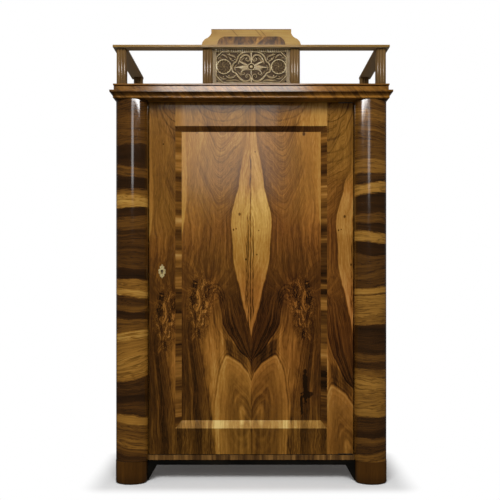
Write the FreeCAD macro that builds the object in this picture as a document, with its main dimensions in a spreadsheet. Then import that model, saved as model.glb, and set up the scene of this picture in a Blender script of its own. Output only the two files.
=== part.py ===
import FreeCAD, Part
import math
import os
import Sketcher
from FreeCAD import Vector

# Driving sizes in millimetres, each with a note on what it measures.
# Front plane means the foremost line of the two pilasters.
SIZES = {
    "body_width": (1096, "outer faces of the two pilasters"),
    "body_depth": (490, "front plane to the back of the carcass"),
    "carcass_height": (1548, "floor to the tops of the pilasters"),
    "fit_gap": (0.2, "slack of a board in its groove or housing"),
    "overrun": (2, "how far a cut runs past what it cuts"),

    "pilaster_width": (129, "width of a pilaster"),
    "pilaster_depth": (100, "front plane to the back of a pilaster"),
    "pilaster_bulge": (46, "depth of the rounded front of a pilaster"),
    "pilaster_corner_radius": (34, "radius where the front turns into the side"),

    "foot_height": (91.5, "floor to the seam below the pilaster"),
    "foot_inset": (4.5, "inner side of the foot inside the pilaster's"),
    "foot_proud": (1, "outer side of the foot outside the pilaster's"),
    "foot_easing": (5, "eased edge at the sole of a foot"),

    "side_thickness": (20, "side board"),
    "side_setback": (2, "side board inside the pilaster's outer face"),
    "housing_depth": (5, "housings in the side boards"),
    "rear_foot_width": (60, "rear foot cut out of the side board"),
    "bracket_run": (38.5, "length of a sloped end of the plinth cut-outs"),
    "toe_height": (3, "tip of a sloped end above the floor"),
    "toe_width": (3, "width of the tip of a sloped end"),

    "board_thickness": (18, "bottom board, top board and shelves"),
    "back_thickness": (14, "tongued and grooved back boards"),
    "back_rebate": (10, "rebate in the side boards for the back"),
    "back_count": (3, "number of back boards"),
    "tongue_length": (8, "tongue on a back board"),
    "tongue_thickness": (4.5, "thickness of that tongue"),

    "rail_bottom": (87, "floor to the underside of the base rail"),
    "base_rail_height": (19.5, "base rail under the door"),
    "base_rail_setback": (58, "front plane to the face of the base rail"),
    "floor_lap": (2.5, "bottom board below the top of the base rail"),
    "apron_height": (21.3, "black apron below the base rail"),
    "apron_setback": (62, "front plane to the face of the apron"),
    "apron_thickness": (18, "black apron"),
    "head_rail_height": (22, "head rail above the door"),
    "head_rail_lap": (20, "head rail over the top board"),
    "stop_width": (14, "door stop on the lock side"),
    "stop_gap": (0.5, "closed door to its stop"),

    "door_setback": (60, "front plane to the face of the door"),
    "door_thickness": (32, "frame of the door"),
    "door_gap": (3, "gap all round the door"),
    "stile_width": (106.5, "stiles of the door"),
    "top_rail_width": (96, "top rail of the door"),
    "bottom_rail_width": (105.5, "bottom rail of the door"),
    "panel_recess": (21, "door face to the face of the panel"),
    "panel_thickness": (8, "door panel"),
    "panel_groove": (9, "depth of the grooves that hold the panel"),
    "bevel_side_width": (24, "upright bevel mouldings"),
    "bevel_top_width": (20.5, "top bevel moulding"),
    "bevel_bottom_width": (29, "bottom bevel moulding"),

    "cornice_height": (48, "cornice moulding"),
    "cornice_depth": (45, "front plane back to the inner face of the moulding"),
    "cornice_overhang": (17, "fillet of the cornice past the body"),
    "bead_overhang": (5.5, "bead under the cornice past the body"),
    "bead_height": (8, "bead under the cornice"),
    "cove_start": (3.5, "cove past the body where it leaves the bead"),
    "cove_height": (15, "cove of the cornice"),
    "cove_radius": (18, "radius of the cove"),
    "fillet_height": (7.7, "fillet over the cove"),
    "band_overhang": (2, "upper band of the cornice past the body"),
    "groove_depth": (8, "dark groove under the gallery base"),
    "groove_height": (4.5, "height of that groove"),
    "cornice_rebate": (10, "rebate in the moulding for the gallery base"),
    "cornice_back_depth": (20, "rail that closes the cornice at the back"),

    "slab_thickness": (5.5, "visible edge of the gallery base"),
    "slab_overhang": (4.5, "gallery base past the body"),
    "post_height": (146, "gallery posts"),
    "post_width": (40, "gallery posts across"),
    "post_depth": (36, "gallery posts front to back"),
    "post_inset": (6.5, "outer side of a corner post inside the body"),
    "post_setback": (8, "front plane to the front of the front posts"),
    "rear_post_margin": (8, "back of a rear post to the back of the body"),
    "reed_rise": (3, "how far each reed of a post swells"),
    "centre_post_outer": (195.5, "middle to the outer side of a centre post"),
    "gallery_rail_thickness": (8.5, "flat rails on the posts"),
    "gallery_rail_width": (52, "flat rails front to back"),
    "gallery_rail_overhang": (5.5, "flat rails past the body"),

    "carving_setback": (16, "front plane to the face of the carved panel"),
    "carving_thickness": (18, "carved panel"),
    "carving_border": (12, "raised border of the carved panel"),
    "carving_corner": (16, "cut corners inside that border"),
    "carving_relief": (6, "border above the carved ground"),
    "strap_relief": (4, "strap bands above the carved ground"),
    "medallion_radius": (27, "outer radius of a medallion ring"),
    "medallion_ring": (5, "width of a medallion ring"),
    "medallion_offset": (110, "middle to the centre of a medallion"),
    "rosette_radius": (14, "rosette inside a medallion"),
    "hub_radius": (11, "hub of the strapwork"),

    "crest_height": (65.5, "crest board"),
    "crest_thickness": (22, "crest board"),
    "crest_setback": (4, "front plane to the face of the crest"),
    "crest_top_half": (160, "half width of the crest at its top"),
    "crest_foot_half": (199, "half width of the crest at its foot"),
    "crest_shoulder": (16, "upright part below the top corner"),
    "crest_turn_out": (18, "shoulder to the turn of the S curve, across"),
    "crest_turn_drop": (20, "shoulder to the turn of the S curve, down"),
    "crest_curve_radius": (34, "radius of both halves of the S curve"),
    "inlay_half": (136, "half width of the crest's inlay"),
    "inlay_height": (36, "crest's inlay"),
    "inlay_radius": (32, "upper corners of the inlay"),
    "inlay_thickness": (1.2, "inlay let into the crest"),

    "rack_width": (26, "toothed rack front to back"),
    "rack_thickness": (16, "toothed rack across"),
    "rack_margin": (4, "front rack behind the pilaster"),
    "tooth_pitch": (50, "spacing of the teeth"),
    "tooth_depth": (12, "depth of a notch"),
    "tooth_slope": (34, "rise of the sloped side of a notch"),
    "bearer_height": (20, "shelf bearers"),
    "bearer_slack": (0.5, "slack of a bearer in its notch"),
    "shelf_count": (3, "number of shelves"),
    "shelf_gap": (1, "shelf to side board and racks"),

    "pivot_inset": (18, "pivot axis inside the edge of the door"),
    "pivot_setback": (10, "pivot axis behind the face of the door"),
    "pin_radius": (4, "pivot pins"),
    "pin_length": (14, "pivot pins inside the door"),
    "pin_clearance": (0.05, "pin to the bore of its socket"),
    "pin_hole_radius": (5, "hole in the wood past the socket"),
    "collar_radius": (8, "collar that carries the door"),
    "collar_gap": (0.3, "collar to the socket plate"),
    "plate_length": (60, "pivot and socket plates"),
    "plate_width": (20, "pivot and socket plates"),
    "plate_thickness": (3, "pivot and socket plates"),
    "plate_end_gap": (2, "plate to the pilaster or to the door edge"),
    "plate_screw_inset": (8, "first screw from the plate's inner end"),
    "plate_screw_pitch": (15, "between the two screws of a plate"),

    "screw_radius": (1.7, "shank of the screws"),
    "screw_head_radius": (3.6, "head of the screws"),
    "screw_head_height": (2, "countersunk head"),
    "screw_length": (15, "screws, head included"),
    "screw_clearance": (0.1, "screw to its hole"),

    "lock_height": (857, "floor to the centre of the keyhole"),
    "backset": (52, "edge of the door to the keyhole"),
    "case_length": (75, "lock case into the stile"),
    "case_height": (95, "lock case"),
    "case_depth": (14, "lock case front to back"),
    "case_wall": (3, "walls of the lock case"),
    "forend_thickness": (2.5, "plate in the edge of the door"),
    "forend_height": (120, "plate in the edge of the door"),
    "bolt_length": (52, "lock bolt"),
    "bolt_height": (20, "lock bolt"),
    "bolt_thickness": (7, "lock bolt"),
    "bolt_rise": (22, "keyhole to the middle of the bolt"),
    "bolt_throw": (10, "travel of the bolt"),
    "bolt_gap": (0.3, "bolt to its channel"),
    "bolt_notch_width": (10, "notch that the key turns in"),
    "bolt_notch_depth": (5, "notch that the key turns in"),
    "key_space_radius": (12, "hollow in the case where the key turns"),
    "keyhole_radius": (3.5, "round part of the keyhole"),
    "keyhole_slot_width": (3.4, "slot of the keyhole"),
    "keyhole_slot_length": (9, "slot below the middle of the round part"),
    "case_screw_inset": (6, "lock screws from the corners of the case"),
    "strike_length": (60, "strike plate"),
    "strike_width": (18, "strike plate"),
    "strike_thickness": (2, "strike plate"),
    "strike_screw_inset": (7, "strike screws from the ends"),
    "mortise_slack": (1.5, "bolt to the slot of the strike plate"),
    "mortise_depth": (12, "mortise in the pilaster"),

    "escutcheon_height": (57, "escutcheon"),
    "escutcheon_half": (15, "half width of the escutcheon"),
    "escutcheon_thickness": (1.2, "escutcheon on the face of the door"),
    "escutcheon_lift": (1, "middle of the escutcheon below the keyhole"),

    "dowel_radius": (4, "dowels"),
    "dowel_clearance": (0.05, "dowel to its hole"),
    "post_dowel_depth": (20, "dowel into a gallery post"),
    "rail_dowel_depth": (5, "dowel into a gallery rail"),
    "crest_dowel_depth": (20, "dowel into the crest"),
    "cornice_dowel_depth": (14, "cornice dowel into each piece"),
    "cornice_dowel_setback": (25, "front plane to the front cornice dowels"),
    "rear_dowel_margin": (50, "rear cornice dowels from the back"),
}

doc = FreeCAD.newDocument("Cupboard")
sheet = doc.addObject("Spreadsheet::Sheet", "Sizes")
nodes = {}


def fill_sheet():
    for row, (alias, (value, note)) in enumerate(SIZES.items(), 1):
        sheet.set("A%d" % row, note)
        sheet.set("B%d" % row, str(value))
        sheet.setAlias("B%d" % row, alias)
    doc.recompute()


def as_size(item):
    return item if isinstance(item, Size) else Size(float(item), "%g" % item)


class Size:
    """A length that carries its value and the formula that ties it to the sheet."""

    def __init__(self, value, formula):
        self.value = value
        self.formula = formula

    def join(self, other, sign, value):
        return Size(value, "(%s %s %s)" % (self.formula, sign, as_size(other).formula))

    def __add__(self, other):
        return self.join(other, "+", self.value + as_size(other).value)

    def __sub__(self, other):
        return self.join(other, "-", self.value - as_size(other).value)

    def __mul__(self, other):
        return self.join(other, "*", self.value * as_size(other).value)

    def __truediv__(self, other):
        return self.join(other, "/", self.value / as_size(other).value)

    def __neg__(self):
        return Size(-self.value, "(0 - %s)" % self.formula)


class Dimensions:
    """Reads a named size from the sheet."""

    def __getattr__(self, alias):
        return Size(float(sheet.get(alias)), "Sizes." + alias)


fill_sheet()
dim = Dimensions()

# Places that several pieces share, worked out from the sizes above
front_plane = (dim.cornice_overhang - dim.body_depth) / 2
half_body = dim.body_width / 2
pilaster_inner = half_body - dim.pilaster_width
side_outer = half_body - dim.side_setback
side_inner = side_outer - dim.side_thickness
back_front = dim.body_depth - dim.back_thickness
base_rail_top = dim.rail_bottom + dim.base_rail_height
floor_bottom = base_rail_top - dim.floor_lap
floor_top = floor_bottom + dim.board_thickness
ceiling = dim.carcass_height - dim.board_thickness
arch_height = dim.rail_bottom - dim.apron_height

door_half = pilaster_inner - dim.door_gap
door_bottom = base_rail_top + dim.door_gap
door_top = dim.carcass_height - dim.door_gap
door_height = door_top - door_bottom
door_back = dim.door_setback + dim.door_thickness
opening_half = door_half - dim.stile_width
opening_bottom = door_bottom + dim.bottom_rail_width
opening_top = door_top - dim.top_rail_width
opening_height = opening_top - opening_bottom

pivot_x = door_half - dim.pivot_inset
pivot_y = dim.door_setback + dim.pivot_setback
plate_outer = pilaster_inner - dim.plate_end_gap

cornice_top = dim.carcass_height + dim.cornice_height
rebate_floor = cornice_top - dim.cornice_rebate
slab_bottom = cornice_top + dim.groove_height
slab_top = slab_bottom + dim.slab_thickness
post_top = slab_top + dim.post_height
gallery_top = post_top + dim.gallery_rail_thickness
corner_post_x = half_body - dim.post_inset - dim.post_width / 2
centre_post_x = dim.centre_post_outer - dim.post_width / 2
front_post_y = dim.post_setback + dim.post_depth / 2
rear_post_y = dim.body_depth - dim.rear_post_margin - dim.post_depth / 2

case_outer = door_half - dim.forend_thickness
key_x = dim.backset - door_half
bolt_z = dim.lock_height + dim.bolt_rise
case_back = door_back
case_front = door_back - dim.case_depth
bolt_y = door_back - dim.case_depth / 2


def bind(thing, prop, size):
    """Set a property now and tie it to the sheet."""
    size = as_size(size)
    thing.setExpression(prop, size.formula)


def place(thing, x, y, z):
    """Place a sub-part; y counts back from the front plane."""
    bind(thing, "Placement.Base.x", x)
    bind(thing, "Placement.Base.y", front_plane + y)
    bind(thing, "Placement.Base.z", z)


def keep(label, thing):
    """Name a finished sub-part."""
    thing.Label = label
    nodes[label] = thing
    return thing


def box(name, length, width, height, x, y, z):
    block = doc.addObject("Part::Box", name)
    bind(block, "Length", length)
    bind(block, "Width", width)
    bind(block, "Height", height)
    place(block, x, y, z)
    return block


def cylinder(name, radius, height, x, y, z):
    rod = doc.addObject("Part::Cylinder", name)
    bind(rod, "Radius", radius)
    bind(rod, "Height", height)
    place(rod, x, y, z)
    return rod


def prism(name, radius, height, x, y, z):
    """Eight-sided hollow or block, for holes that nothing turns in."""
    block = doc.addObject("Part::Prism", name)
    block.Polygon = 8
    bind(block, "Circumradius", radius)
    bind(block, "Height", height)
    place(block, x, y, z)
    return block


def fuse(name, *shapes):
    joined = doc.addObject("Part::MultiFuse", name)
    joined.Shapes = list(shapes)
    return joined


def cut(name, base, *tools):
    """The base less its tools."""
    tool = tools[0]
    if len(tools) > 1:
        tool = fuse(name + "_tools", *tools)
    result = doc.addObject("Part::Cut", name)
    result.Base = base
    result.Tool = tool
    return result


def mirror_x(label, source):
    """The same sub-part on the other side of the cupboard."""
    image = doc.addObject("Part::Mirroring", label)
    image.Source = source
    image.Normal = Vector(1, 0, 0)
    return keep(label, image)


def in_code(name, shape):
    """Shape worked out from the sheet where a feature would not fit."""
    feature = doc.addObject("Part::Feature", name)
    feature.Shape = shape
    feature.Placement = FreeCAD.Placement(Vector(0, front_plane.value, 0), FreeCAD.Rotation())
    return feature


def new_body(name):
    return doc.addObject("PartDesign::Body", name)


def new_sketch(body, name, role, offset=0):
    """Sketch on one of the body's own planes, moved along its normal."""
    sketch = body.newObject("Sketcher::SketchObject", name)
    plane = [item for item in body.Origin.OriginFeatures if item.Role == role][0]
    sketch.AttachmentSupport = [(plane, "")]
    sketch.MapMode = "FlatFace"
    if offset:
        bind(sketch, "AttachmentOffset.Base.z", offset)
    return sketch


def dimension(sketch, kind, element, point, size):
    """Dimension from the sketch origin to a point, tied to the sheet."""
    size = as_size(size)
    if size.value == 0:
        axis = -2 if kind == "DistanceX" else -1
        sketch.addConstraint(Sketcher.Constraint("PointOnObject", element, point, axis))
        return
    index = sketch.addConstraint(Sketcher.Constraint(kind, -1, 1, element, point, size.value))
    sketch.setExpression("Constraints[%d]" % index, size.formula)


def arc_between(start, end, radius, swell):
    """Minor arc; swell 1 bulges to the right of the way from start to end, -1 to the left."""
    chord = end - start
    middle = start + chord * 0.5
    rise = math.sqrt(max(radius ** 2 - (chord.Length / 2) ** 2, 0))
    normal = Vector(-chord.y, chord.x, 0).normalize()
    centre = middle + normal * rise * swell
    first, last = (start, end) if swell > 0 else (end, start)
    begin = math.atan2(first.y - centre.y, first.x - centre.x)
    finish = math.atan2(last.y - centre.y, last.x - centre.x)
    if finish < begin:
        finish += 2 * math.pi
    return Part.ArcOfCircle(Part.Circle(centre, Vector(0, 0, 1), radius), begin, finish)


def outline(sketch, corners, arcs=None):
    """Closed outline through corners; arcs gives a side its radius and its swell."""
    arcs = arcs or {}
    points = [Vector(as_size(x).value, as_size(y).value, 0) for x, y in corners]
    count = len(points)
    ends = []
    for side in range(count):
        start = points[side]
        end = points[(side + 1) % count]
        if side in arcs:
            radius, swell = arcs[side]
            radius = as_size(radius)
            element = sketch.addGeometry(arc_between(start, end, radius.value, swell), False)
            index = sketch.addConstraint(Sketcher.Constraint("Radius", element, radius.value))
            sketch.setExpression("Constraints[%d]" % index, radius.formula)
            ends.append((element, 1, 2) if swell > 0 else (element, 2, 1))
        else:
            element = sketch.addGeometry(Part.LineSegment(start, end), False)
            ends.append((element, 1, 2))
    for side in range(count):
        element, _, last = ends[side]
        following, first, _ = ends[(side + 1) % count]
        sketch.addConstraint(Sketcher.Constraint("Coincident", element, last, following, first))
    for side in range(count):
        element, first, _ = ends[side]
        dimension(sketch, "DistanceX", element, first, corners[side][0])
        dimension(sketch, "DistanceY", element, first, corners[side][1])


def rectangle(sketch, x0, y0, x1, y1):
    outline(sketch, [(x0, y0), (x1, y0), (x1, y1), (x0, y1)])


def circle(sketch, x, y, radius):
    radius = as_size(radius)
    centre = Vector(as_size(x).value, as_size(y).value, 0)
    element = sketch.addGeometry(Part.Circle(centre, Vector(0, 0, 1), radius.value), False)
    index = sketch.addConstraint(Sketcher.Constraint("Radius", element, radius.value))
    sketch.setExpression("Constraints[%d]" % index, radius.formula)
    dimension(sketch, "DistanceX", element, 3, x)
    dimension(sketch, "DistanceY", element, 3, y)


def pad(body, sketch, length, backwards=False):
    feature = body.newObject("PartDesign::Pad", sketch.Name + "_pad")
    feature.Profile = sketch
    feature.Reversed = backwards
    bind(feature, "Length", length)
    sketch.Visibility = False
    return feature


def pocket(body, sketch, length, backwards=False):
    """Pocket that must take something away."""
    doc.recompute()
    before = body.Shape.Volume
    feature = body.newObject("PartDesign::Pocket", sketch.Name + "_pocket")
    feature.Profile = sketch
    feature.Reversed = backwards
    bind(feature, "Length", length)
    doc.recompute()
    if body.Shape.Volume >= before:
        raise RuntimeError("pocket cuts nothing: " + sketch.Name)
    return feature


def oval_plan(sketch, left, right, depth):
    """Plan of a pilaster or foot: a wide front arc, two corner arcs and a flat back."""
    half = (right.value - left.value) / 2
    middle = (right.value + left.value) / 2
    bulge = dim.pilaster_bulge.value
    corner = dim.pilaster_corner_radius.value
    wide = ((half - corner) ** 2 + bulge ** 2 - corner ** 2) / (2 * (bulge - corner))
    lean = math.atan2(half - corner, wide - bulge)
    up = Vector(0, 0, 1)
    right_centre = Vector(middle + half - corner, bulge, 0)
    left_centre = Vector(middle - half + corner, bulge, 0)
    front_centre = Vector(middle, wide, 0)
    down = -math.pi / 2
    back_left = Vector(left.value, depth.value, 0)
    back_right = Vector(right.value, depth.value, 0)
    side_left = Vector(left.value, bulge, 0)
    side_right = Vector(right.value, bulge, 0)
    right_turn = Part.ArcOfCircle(Part.Circle(right_centre, up, corner), down + lean, 0)
    front = Part.ArcOfCircle(Part.Circle(front_centre, up, wide), down - lean, down + lean)
    left_turn = Part.ArcOfCircle(Part.Circle(left_centre, up, corner), -math.pi, down - lean)
    back_side = sketch.addGeometry(Part.LineSegment(back_right, back_left), False)
    left_side = sketch.addGeometry(Part.LineSegment(back_left, side_left), False)
    left_arc = sketch.addGeometry(left_turn, False)
    front_arc = sketch.addGeometry(front, False)
    right_arc = sketch.addGeometry(right_turn, False)
    right_side = sketch.addGeometry(Part.LineSegment(side_right, back_right), False)
    rules = [
        Sketcher.Constraint("Coincident", back_side, 2, left_side, 1),
        Sketcher.Constraint("Coincident", right_side, 2, back_side, 1),
        Sketcher.Constraint("Tangent", left_side, 2, left_arc, 1),
        Sketcher.Constraint("Tangent", left_arc, 2, front_arc, 1),
        Sketcher.Constraint("Tangent", front_arc, 2, right_arc, 1),
        Sketcher.Constraint("Tangent", right_arc, 2, right_side, 1),
        Sketcher.Constraint("Horizontal", back_side),
        Sketcher.Constraint("Vertical", left_side),
        Sketcher.Constraint("Vertical", right_side),
        Sketcher.Constraint("Equal", left_arc, right_arc),
        Sketcher.Constraint("Tangent", front_arc, -1),
    ]
    for rule in rules:
        sketch.addConstraint(rule)
    index = sketch.addConstraint(Sketcher.Constraint("Radius", left_arc, corner))
    sketch.setExpression("Constraints[%d]" % index, dim.pilaster_corner_radius.formula)
    dimension(sketch, "DistanceX", back_side, 2, left)
    dimension(sketch, "DistanceX", back_side, 1, right)
    dimension(sketch, "DistanceY", back_side, 1, depth)
    dimension(sketch, "DistanceY", left_side, 2, dim.pilaster_bulge)


def octagon(point, direction, radius, along):
    """Eight corners round a line, some way along it, the first one repeated."""
    turn = FreeCAD.Rotation(Vector(0, 0, 1), direction)
    corners = []
    for number in range(8):
        angle = math.pi * number / 4
        spoke = Vector(math.cos(angle) * radius, math.sin(angle) * radius, along)
        corners.append(point + turn.multVec(spoke))
    return corners + corners[:1]


def screw_shape(point, direction, clearance=0.0):
    """Hand-cut countersunk screw, flush at the point; direction is the way it goes in."""
    head = dim.screw_head_radius.value + clearance
    shank = dim.screw_radius.value + clearance
    neck = dim.screw_head_height.value
    tip = dim.screw_length.value + clearance
    rings = [octagon(point, direction, radius, along) for radius, along in ((head, 0), (shank, neck), (shank, tip))]
    faces = [Part.Face(Part.makePolygon(rings[0][::-1])), Part.Face(Part.makePolygon(rings[-1]))]
    for near, far in zip(rings, rings[1:]):
        for corner in range(8):
            quad = [near[corner], near[corner + 1], far[corner + 1], far[corner], near[corner]]
            faces.append(Part.Face(Part.makePolygon(quad)))
    return Part.makeSolid(Part.makeShell(faces))


def screw_holes(name, places):
    """Tool that cuts the holes of several screws."""
    slack = dim.screw_clearance.value
    return in_code(name, Part.makeCompound([screw_shape(p, way, slack) for p, way in places]))


def screw_group(label, places):
    return keep(label, in_code(label, Part.makeCompound([screw_shape(p, way) for p, way in places])))


def point_at(x, y, z):
    """Point in the cupboard's frame, with y from the front plane."""
    return Vector(as_size(x).value, as_size(y).value, as_size(z).value)


UP = Vector(0, 0, 1)
DOWN = Vector(0, 0, -1)
FORWARD = Vector(0, -1, 0)
LEFTWARD = Vector(-1, 0, 0)


def plate_screws(height, way):
    """Two screws of a pivot or socket plate."""
    first = plate_outer - dim.plate_length + dim.plate_screw_inset
    second = first + dim.plate_screw_pitch
    return [(point_at(x, pivot_y, height), way) for x in (first, second)]


def strike_screws():
    reach = dim.strike_length / 2 - dim.strike_screw_inset
    heights = (bolt_z - reach, bolt_z + reach)
    return [(point_at(-pilaster_inner, bolt_y, z), LEFTWARD) for z in heights]


def case_screws():
    inset = dim.case_screw_inset
    near = inset - case_outer
    far = dim.case_length - inset - case_outer
    low = dim.lock_height - dim.case_height / 2 + inset
    high = dim.lock_height + dim.case_height / 2 - inset
    return [(point_at(x, door_back, z), FORWARD) for x in (near, far) for z in (low, high)]


def dowel_rods(clearance=0.0):
    """Every whittled, eight-sided dowel, with the clearance of its hole."""
    radius = dim.dowel_radius.value + clearance
    spots = []
    for x in (-corner_post_x, corner_post_x):
        for y in (front_post_y, rear_post_y):
            spots.append((x, y, rebate_floor, slab_top + dim.post_dowel_depth))
            spots.append((x, y, post_top - dim.post_dowel_depth, post_top + dim.rail_dowel_depth))
    crest_y = dim.crest_setback + dim.crest_thickness / 2
    for x in (-centre_post_x, centre_post_x):
        spots.append((x, front_post_y, rebate_floor, slab_top + dim.post_dowel_depth))
        spots.append((x, crest_y, post_top - dim.post_dowel_depth, gallery_top + dim.crest_dowel_depth))
    reach = dim.cornice_dowel_depth
    side_middle = side_outer - dim.side_thickness / 2
    for sign in (-1, 1):
        spots.append((
            (pilaster_inner + dim.pilaster_width / 2) * sign,
            dim.cornice_dowel_setback,
            dim.carcass_height - reach,
            dim.carcass_height + reach,
        ))
        spots.append((
            side_middle * sign,
            dim.body_depth - dim.rear_dowel_margin,
            dim.carcass_height - reach,
            dim.carcass_height + reach,
        ))
    rods = []
    for x, y, foot, top in spots:
        length = top.value - foot.value + 2 * clearance
        face = Part.Face(Part.makePolygon(octagon(point_at(x, y, foot - clearance), UP, radius, 0)))
        rods.append(face.extrude(Vector(0, 0, length)))
    return rods


def dowel_holes(name):
    return in_code(name, Part.makeCompound(dowel_rods(dim.dowel_clearance.value)))


def pilasters():
    for label, sign in (("left_pilaster", -1), ("right_pilaster", 1)):
        body = new_body(label + "_column")
        sketch = new_sketch(body, label + "_plan", "XY_Plane")
        half = dim.pilaster_width / 2
        oval_plan(sketch, -half, half, dim.pilaster_depth)
        pad(body, sketch, dim.carcass_height - dim.foot_height)
        place(body, (pilaster_inner + half) * sign, 0, dim.foot_height)
        tools = [dowel_holes(label + "_dowel_holes")]
        if sign < 0:
            slot_height = dim.bolt_height + dim.mortise_slack * 2
            slot_width = dim.bolt_thickness + dim.mortise_slack * 2
            tools.append(box(
                "strike_recess",
                dim.strike_thickness + dim.overrun, dim.strike_width, dim.strike_length,
                -pilaster_inner - dim.strike_thickness,
                bolt_y - dim.strike_width / 2,
                bolt_z - dim.strike_length / 2,
            ))
            tools.append(box(
                "bolt_mortise",
                dim.mortise_depth + dim.overrun, slot_width, slot_height,
                -pilaster_inner - dim.mortise_depth,
                bolt_y - slot_width / 2,
                bolt_z - slot_height / 2,
            ))
            tools.append(screw_holes("strike_screw_holes", strike_screws()))
        keep(label, cut(label, body, *tools))


def feet():
    body = new_body("left_foot")
    sketch = new_sketch(body, "left_foot_plan", "XY_Plane")
    oval_plan(sketch, -half_body - dim.foot_proud, -pilaster_inner - dim.foot_inset, dim.pilaster_depth)
    block = pad(body, sketch, dim.foot_height)
    doc.recompute()
    sole = []
    rear_half = (dim.pilaster_bulge.value + dim.pilaster_depth.value) / 2
    for number, edge in enumerate(body.Shape.Edges, 1):
        low = edge.BoundBox.ZMax < dim.foot_easing.value / 2
        behind = edge.BoundBox.YMin > rear_half
        if low and not behind:
            sole.append("Edge%d" % number)
    easing = body.newObject("PartDesign::Chamfer", "sole_easing")
    easing.Base = (block, sole)
    bind(easing, "Size", dim.foot_easing)
    place(body, 0, 0, 0)
    keep("left_foot", body)
    mirror_x("right_foot", body)


def sides():
    body = new_body("left_side_board")
    depth = dim.body_depth - dim.pilaster_depth
    rear = depth - dim.rear_foot_width
    sketch = new_sketch(body, "left_side_outline", "YZ_Plane")
    outline(sketch, [
        (0, dim.toe_height),
        (dim.toe_width, dim.toe_height),
        (dim.bracket_run, arch_height),
        (rear - dim.bracket_run + dim.toe_width, arch_height),
        (rear, 0),
        (depth, 0),
        (depth, dim.carcass_height),
        (0, dim.carcass_height),
    ])
    pad(body, sketch, dim.side_thickness)
    back = depth - dim.back_thickness
    housing = new_sketch(body, "left_side_housings", "YZ_Plane", dim.side_thickness)
    for low, high in ((floor_bottom, floor_top), (ceiling, dim.carcass_height + dim.overrun)):
        rectangle(housing, -dim.overrun, low, back, high)
    pocket(body, housing, dim.housing_depth)
    rebate = new_sketch(body, "left_side_rebate", "YZ_Plane", dim.side_thickness)
    rectangle(rebate, back, dim.rail_bottom, depth + dim.overrun, dim.carcass_height + dim.overrun)
    pocket(body, rebate, dim.back_rebate)
    place(body, -side_outer, dim.pilaster_depth, 0)
    left = keep("left_side", cut("left_side", body, dowel_holes("side_dowel_holes")))
    mirror_x("right_side", left)


def floor_and_ceiling():
    half = side_inner + dim.housing_depth - dim.fit_gap
    depth = back_front - dim.pilaster_depth - dim.fit_gap
    for label, z in (("bottom_board", floor_bottom), ("top_board", ceiling)):
        keep(label, box(label, half * 2, depth, dim.board_thickness, -half, dim.pilaster_depth, z))


def back_boards():
    """Boards with a tongue on the right edge and a groove on the left edge."""
    count = int(dim.back_count.value)
    half = side_inner + dim.back_rebate - dim.fit_gap
    pitch = half * 2 / count
    middle = dim.back_thickness / 2
    lip = dim.tongue_thickness / 2
    for number in range(count):
        label = "back_board_%d" % (number + 1)
        body = new_body(label)
        sketch = new_sketch(body, label + "_plan", "XY_Plane")
        right = pitch - dim.fit_gap
        corners = [(0, 0), (right, 0)]
        if number < count - 1:
            tip = right + dim.tongue_length
            corners += [(right, middle - lip), (tip, middle - lip), (tip, middle + lip), (right, middle + lip)]
        corners += [(right, dim.back_thickness), (0, dim.back_thickness)]
        if number > 0:
            floor = dim.tongue_length
            wall = lip + dim.fit_gap
            corners += [(0, middle + wall), (floor, middle + wall), (floor, middle - wall), (0, middle - wall)]
        outline(sketch, corners)
        pad(body, sketch, dim.carcass_height - dim.rail_bottom)
        place(body, pitch * number - half, back_front, dim.rail_bottom)
        keep(label, body)


def base_rail():
    plank = box(
        "base_rail_plank",
        pilaster_inner * 2, dim.pilaster_depth - dim.base_rail_setback, dim.base_rail_height,
        -pilaster_inner, dim.base_rail_setback, dim.rail_bottom,
    )
    recess = box(
        "lower_plate_recess",
        dim.plate_length, dim.plate_width, dim.plate_thickness + dim.overrun,
        plate_outer - dim.plate_length,
        pivot_y - dim.plate_width / 2,
        base_rail_top - dim.plate_thickness,
    )
    holes = screw_holes("base_rail_screw_holes", plate_screws(base_rail_top, DOWN))
    keep("base_rail", cut("base_rail", plank, recess, holes))


def apron():
    body = new_body("apron")
    sketch = new_sketch(body, "apron_outline", "XZ_Plane")
    half = pilaster_inner + dim.foot_inset
    outline(sketch, [
        (-half, dim.rail_bottom),
        (-half, dim.toe_height),
        (dim.toe_width - half, dim.toe_height),
        (dim.bracket_run - half, arch_height),
        (half - dim.bracket_run, arch_height),
        (half - dim.toe_width, dim.toe_height),
        (half, dim.toe_height),
        (half, dim.rail_bottom),
    ])
    pad(body, sketch, dim.apron_thickness, backwards=True)
    place(body, 0, dim.apron_setback, 0)
    keep("apron", body)


def head_rail():
    half = half_body - dim.cornice_depth
    depth = dim.pilaster_depth + dim.head_rail_lap - dim.cornice_depth
    plank = box(
        "head_rail_plank", half * 2, depth, dim.head_rail_height,
        -half, dim.cornice_depth, dim.carcass_height,
    )
    recess = box(
        "upper_plate_recess",
        dim.plate_length, dim.plate_width, dim.plate_thickness + dim.overrun,
        plate_outer - dim.plate_length,
        pivot_y - dim.plate_width / 2,
        dim.carcass_height - dim.overrun,
    )
    holes = screw_holes("head_rail_screw_holes", plate_screws(dim.carcass_height, UP))
    keep("head_rail", cut("head_rail", plank, recess, holes))


def door_stop():
    depth = dim.pilaster_depth - door_back - dim.stop_gap
    keep("door_stop", box(
        "door_stop", dim.stop_width, depth, dim.carcass_height - base_rail_top,
        -pilaster_inner, door_back + dim.stop_gap, base_rail_top,
    ))


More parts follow.
